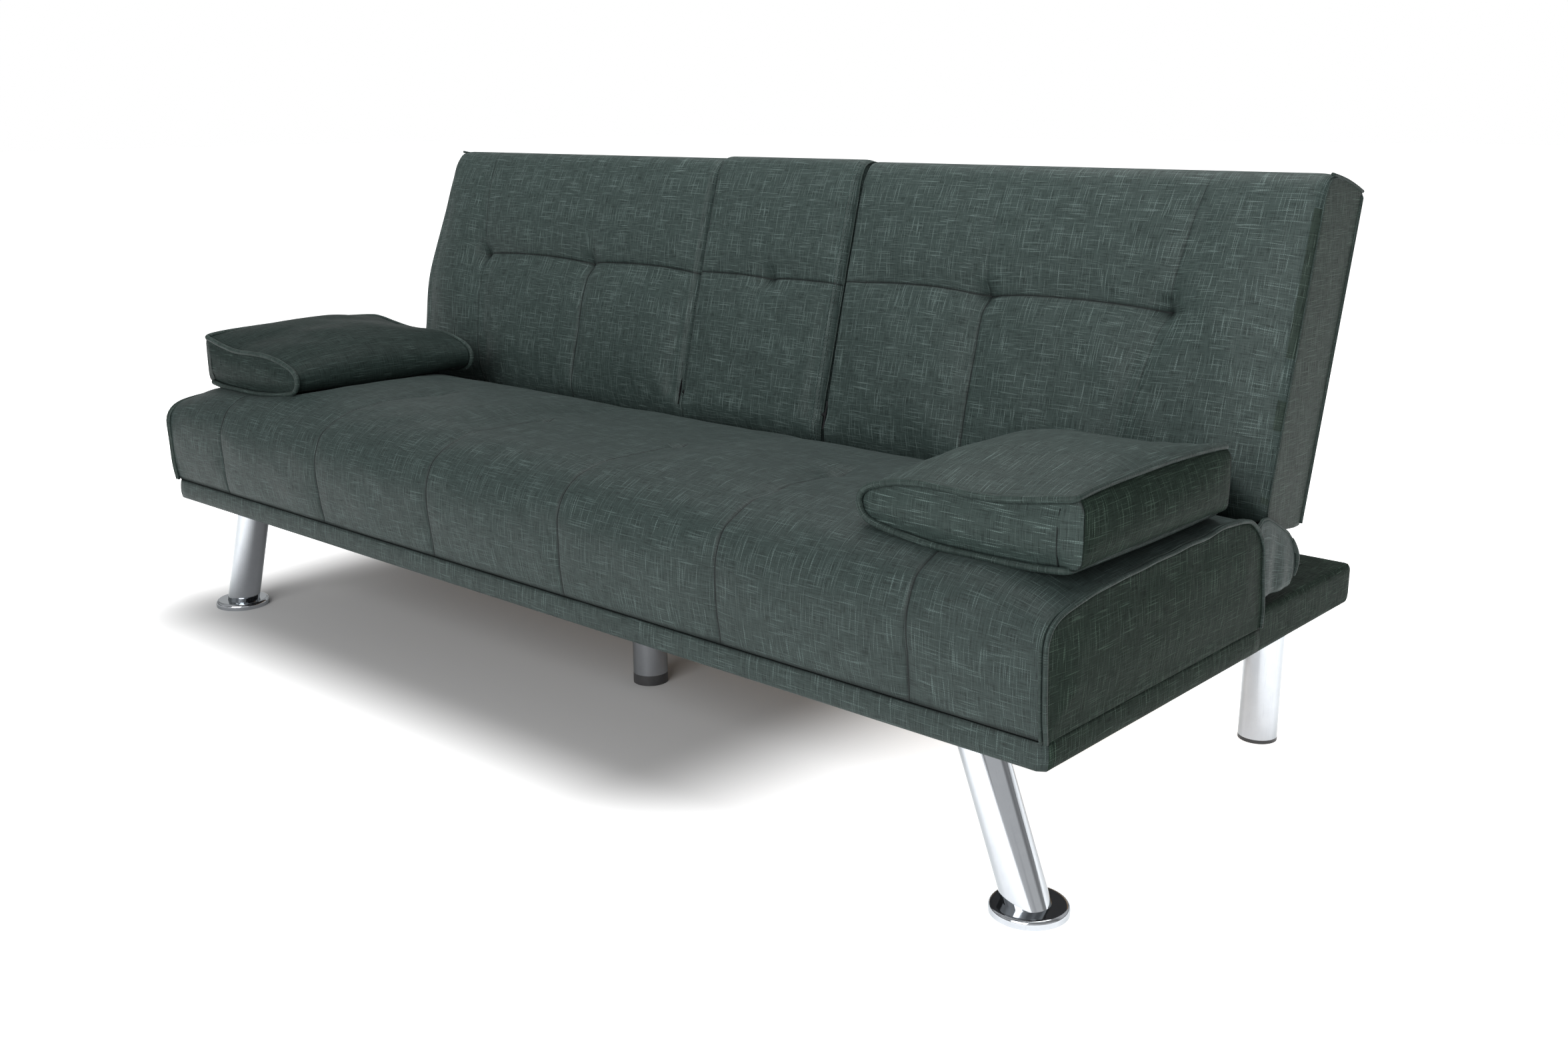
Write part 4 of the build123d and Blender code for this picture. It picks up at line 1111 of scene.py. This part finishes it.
def buildPillow(side):
    label = "left" if side < 0 else "right"
    print("arm pillow", label)
    trimFront, trimRear, nose, outside = armPillow["trim"][side]
    front, rear = pillowLow[1] + 5.0 + trimFront, pillowHigh[1] - 5.0 - trimRear
    over, under = (np.array(armPillow[key], float) for key in ("over", "under"))
    overRun, underRun = (alongPath(p) / alongPath(p)[-1] for p in (over, under))

    def rings(along, part):
        top = splineThrough(overRun, over, part[part <= 1])
        low = splineThrough(underRun, under, part[part > 1] - 1)
        outline = np.concatenate([top, low])
        made = np.empty((len(along), len(outline), 3))
        # the sides draw in a little between the corners
        waist = np.sin(np.pi * (along - front) / (rear - front))
        middle = 700.0
        made[..., 0] = middle + (outline[None, :, 0] - middle) * (1 + 0.012 * waist[:, None])
        made[..., 0] = nose + (made[..., 0] - 549.0) * (outside - nose) / (844.0 - 549.0)
        made[..., 1] = along[:, None]
        made[..., 2] = outline[None, :, 1]
        bow = (outline[None, :, 0] - 690.0) / 150.0
        ends = (along[:, None] - (front + rear) / 2) / ((rear - front) / 2)
        made[..., 1] += ends * np.abs(ends) ** 3 * 3.5 * (1 - bow ** 2)
        return made

    coarseAlong = np.linspace(front, rear, 30)
    coarse = halves(11.0, 330.0)
    rough = rings(coarseAlong, coarse)
    uneven = unevenness(rough[..., 0], rough[..., 1], 130 + side, 80.0)
    rough[..., 2] += 1.2 * uneven * (coarse < 0.9)[None, :]
    below = (coarse > 1.12) & (coarse < 1.9)
    held = np.zeros(rough.shape[:2])
    held[:, below] = 1.0
    held[[0, -1]] = 1.0
    for spot, weight in ((armPillow["weltOver"], 0.35), (1 + armPillow["weltUnder"], 0.7)):
        held[:, np.argmin(np.abs(coarse - spot))] = weight
    moved = inflate(rough, held, armPillow["pressure"], armPillow["limit"])
    along = lines(front, rear, 6.5, (front + 4, rear - 4), near=(1.5,))
    part = halves(5.5, 330.0)
    grid = rings(along, part) + spread(moved, coarseAlong, coarse, along, part)
    crown = np.sin(np.pi * (along - front) / (rear - front))[:, None]
    crown = crown * np.sin(np.pi * np.clip(part, 0, 1))[None, :]
    height = armPillow["crown"]
    grid[..., 2] += height * np.sqrt(np.clip(crown, 0, 1)) * (part < 1)[None, :]
    grid[..., 0] *= side
    form = newForm()
    overAt = np.argmin(np.abs(part - armPillow["weltOver"]))
    underAt = np.argmin(np.abs(part - 1 - armPillow["weltUnder"]))
    shade = np.zeros(grid.shape[:2])
    shade[:, [overAt, underAt]] = 0.9
    shade[[0, -1]] = 0.9
    loft(form, grid, shade, capSteps=12, capBulge=armPillow["capBulge"], capReach=24.0, capFlat=(0, 2))
    body = f"arm_pillow_{label}"
    pillow = finishPiece(f"armPillow_{label}", form, body, pillowLinensLeftShaded[side], (body,))
    # the outer side faces get the linen copy with painted shade
    pillow.data.materials.append(shadedSideLinen)
    for face in pillow.data.polygons:
        fromEnd = min(abs(face.center.y - front * mm), abs(face.center.y - rear * mm))
        atEnd = abs(face.normal.y) > 0.7 and fromEnd < 0.012
        if not atEnd and side * face.normal.x > 0.6 and side * face.center.x > 0.82:
            face.material_index = 1
    # one cord round the whole gusset: front end, outer side, rear end, and back below
    loop = [*grid[0, :overAt], *grid[:, overAt], *grid[-1, overAt::-1], *grid[-1, :underAt:-1],
            *grid[::-1, underAt], *grid[0, underAt + 1:]]
    loop = np.array(loop)
    middle = np.array([side * 700.0, (front + rear) / 2, 405.0])
    out = loop - middle
    out /= np.linalg.norm(out, axis=1, keepdims=True)
    loop = evenPath(np.vstack([loop, loop[:1]]) + np.vstack([out, out[:1]]) * 3.4, 5.0)[:-1]
    for _ in range(2):
        loop = (np.roll(loop, 1, axis=0) + 2 * loop + np.roll(loop, -1, axis=0)) / 4
    form = newForm()
    tube(form, loop, armPillow["cord"], sides=10, closed=True)
    finishPiece(f"pillowCord_{label}", form, body, cordLinen)
    form = newForm()
    x = side * (outside - 25.0)
    bulge = armPillow["capBulge"] * 0.75
    tall = [(x, front - 2.5 - bulge * math.sin(math.pi * t), 378 + t * 58) for t in np.linspace(0, 1, 14)]
    tube(form, tall, 0.7, sides=6)
    finishPiece(f"pillowSeam_{label}", form, body, threadLinen)


buildPillow(-1)
buildPillow(1)

flap = {
    "thick": 2.2, "curl": 7.5, "outer": 830.5, "straight": 0.72,
    "top": [(84, 338), (100, 347), (114, 346), (132, 338), (152, 328), (172, 317), (188, 303), (195, 288)],
}


def buildFlap(side):
    # a tongue of cover cloth that hides the hinge: soft upright folds, and a lower edge that rolls under
    label = "left" if side < 0 else "right"
    form = newForm()
    top = evenPath([(y, z, 0) for y, z in flap["top"]], 3.0)[:, :2]
    columns, rows = len(top), 34
    share = np.linspace(0, 1, rows)
    sheet = np.empty((columns, rows, 3))
    for column, (y, z) in enumerate(top):
        across = column / (columns - 1)
        foot = 262.0 - 12.0 * across + 8.0 * across ** 3
        swing = -9.0 * across
        fold = 1.7 * math.sin(across * 9.0 + 0.4) + 1.0 * math.sin(across * 19.0 + 2.0)
        for row, down in enumerate(share):
            x = flap["outer"] - 2.2 * across ** 2
            if down < flap["straight"]:
                part = down / flap["straight"]
                x += fold * math.sin(math.pi * min(1, part * 1.2) * 0.5) - 2.0 * (1 - part)
                spot = (x, y + swing * part ** 1.5, z + (foot - z) * part)
            else:
                curled = (down - flap["straight"]) / (1 - flap["straight"])
                turn = curled * 1.45 * math.pi
                r = flap["curl"] * (1 - 0.3 * curled)
                x += fold * 0.8 - r * 0.62 * (1 - math.cos(turn))
                spot = (x, y + swing, foot - r * math.sin(turn))
            sheet[column, row] = spot
    sheet[..., 0] = np.clip(sheet[..., 0], 821.8, 836.0)
    across = np.gradient(sheet, axis=0)
    down = np.gradient(sheet, axis=1)
    normal = np.cross(across, down)
    normal /= np.linalg.norm(normal, axis=2, keepdims=True) + 1e-9
    other = sheet + normal * flap["thick"] * 0.5
    sheet = sheet - normal * flap["thick"] * 0.5
    rings = np.concatenate([sheet, other[:, ::-1]], axis=1)
    rings[..., 0] *= side
    index = addPoints(form, rings)
    closed = np.concatenate([index, index[:, :1]], axis=1)
    walk = alongPath(rings[columns // 2][list(range(2 * rows)) + [0]])
    along = alongPath(rings[:, 0])
    addQuads(form, closed, np.stack(np.broadcast_arrays(along[:, None], walk[None, :]), -1))
    for column in (0, -1):
        strip = np.stack([index[column][:rows], index[column][:rows - 1:-1]])
        addQuads(form, strip, np.zeros((2, rows, 2)))
    piece = finishPiece(f"hingeFlap_{label}", form, "base", litBackLinen, (f"hinge_flap_{label}",))
    form = newForm()
    edge = (sheet[-1] + other[-1]) / 2
    edge = edge[:int(rows * flap["straight"])] * (side, 1, 1)
    tube(form, evenPath(edge + (0, 1.2, 0), 4.0), 1.7)
    line = np.array([(side * (flap["outer"] - 2.6), y, z + 0.6) for y, z in top])
    tube(form, line, 1.8)
    # the second layer, a rounded roll that shows behind the first
    roll = np.array([(side * (827.0 + 1.5 * math.sin(3 * t)), 176 + 26 * math.sin(math.pi * (0.12 + 0.6 * t)),
                      306 - 46 * t) for t in np.linspace(0, 1, 14)])
    tube(form, roll, 3.2, sides=10)
    finishPiece(f"flapEdge_{label}", form, "base", cordLinen)


for side in (-1, 1):
    buildFlap(side)


# The room: a pale floor with a shadow painted under the sofa and a glow painted around it, a bright even surround,
# a large soft light in front and one above behind.
studio = {"floor": 0.9, "worldSeen": 1.0, "worldLight": 0.55,
          "glowMiddle": (-0.27, -0.1, 0.0), "glowCore": (0.47, 0.2, 0.0),
          "glowReach": 0.34, "glow": 0.8, "floorPaintedShadow": 0.4}


def buildStudio():
    print("studio")
    size = 30.0
    mesh = bpy.data.meshes.new("studioFloor")
    corners = [(x * size, y * size, 0) for x, y in ((-1, -1), (1, -1), (1, 1), (-1, 1))]
    mesh.from_pydata(corners, [], [(0, 1, 2, 3)])
    floor = bpy.data.objects.new("studioFloor", mesh)
    stage.collection.objects.link(floor)
    finish, tree, shader = newFinish("studioPaint")
    shader.inputs["Roughness"].default_value = 0.75
    shader.inputs["Specular IOR Level"].default_value = 0.1
    # the paint glows a little away from the sofa, so that the floor runs out to white, and under the sofa its
    # colour is darker as a painted shadow
    away = vectorOf(tree, "SUBTRACT", objectPlace(tree), studio["glowMiddle"])
    away = vectorOf(tree, "ABSOLUTE", away, (0, 0, 0))
    away = vectorOf(tree, "SUBTRACT", away, studio["glowCore"])
    away = vectorOf(tree, "MAXIMUM", away, (0, 0, 0))
    away = put(tree, "VectorMath", {0: away}, operation="LENGTH").outputs["Value"]
    glow = remap(tree, away, high=studio["glowReach"], interpolation_type="SMOOTHSTEP")
    shader.inputs["Emission Color"].default_value = (1, 1, 1, 1)
    tree.links.new(productOf(tree, glow, studio["glow"]), shader.inputs["Emission Strength"])
    shaded, bare = ((value, value, value, 1) for value in (studio["floorPaintedShadow"], studio["floor"]))
    tree.links.new(blendOf(tree, glow, shaded, bare), shader.inputs["Base Color"])
    floor.data.materials.append(finish)
    world = bpy.data.worlds.new("studioWorld")
    stage.world = world
    world.use_nodes = True
    tree = world.node_tree
    tree.nodes.clear()
    path = put(tree, "LightPath")
    direction = put(tree, "TexCoord").outputs["Generated"]
    lit = remap(tree, noiseOf(tree, direction, 1.7, 1.0), 0.38, 0.62,
                studio["worldLight"] * 0.55, studio["worldLight"] * 1.35)
    strength = put(tree, "Mix", {0: path.outputs["Is Camera Ray"], 2: lit, 3: studio["worldSeen"]})
    background = put(tree, "Background", {0: (1, 1, 1, 1), 1: strength.outputs[0]})
    out = put(tree, "OutputWorld")
    tree.links.new(background.outputs[0], out.inputs[0])


def softLight(name, place, aim, width, height, power):
    light = bpy.data.lights.new(name, "AREA")
    light.shape, light.size, light.size_y, light.energy = "RECTANGLE", width, height, power
    made = bpy.data.objects.new(name, light)
    made.location = place
    made.rotation_euler = (Vector(aim) - Vector(place)).to_track_quat("-Z", "Y").to_euler()
    stage.collection.objects.link(made)


# each light's place, what it faces, its width and height, and its power
lights = {
    "frontSoftbox": ((1.1, -3.4, 1.7), (0.25, 0, 0.4), 2.6, 2.0, 170),
    "overheadSoftbox": ((0.3, 0.3, 3.0), (0.2, -0.2, 0), 2.6, 2.2, 100),
}

buildStudio()
for name, values in lights.items():
    softLight(name, *values)

lens = {"place": (1.5678, -1.5368, 0.8078), "focal": 35.73, "turn": math.radians(41.99),
        "down": math.radians(15.04), "roll": math.radians(-0.31)}


def buildCamera():
    turn, down, roll = lens["turn"], lens["down"], lens["roll"]
    ahead = Vector((-math.sin(turn) * math.cos(down), math.cos(turn) * math.cos(down), -math.sin(down)))
    right = Vector((math.cos(turn), math.sin(turn), 0))
    up = right.cross(ahead)
    right, up = right * math.cos(roll) + up * math.sin(roll), up * math.cos(roll) - right * math.sin(roll)
    camera = bpy.data.objects.new("camera", bpy.data.cameras.new("camera"))
    camera.data.lens = lens["focal"]
    camera.data.sensor_width = 36.0
    camera.data.clip_end = 200.0
    facing = Matrix((right, up, -ahead)).transposed()
    camera.matrix_world = Matrix.Translation(lens["place"]) @ facing.to_4x4()
    stage.collection.objects.link(camera)
    stage.camera = camera


buildCamera()
stage.view_settings.view_transform = "Standard"

print("all pieces made")
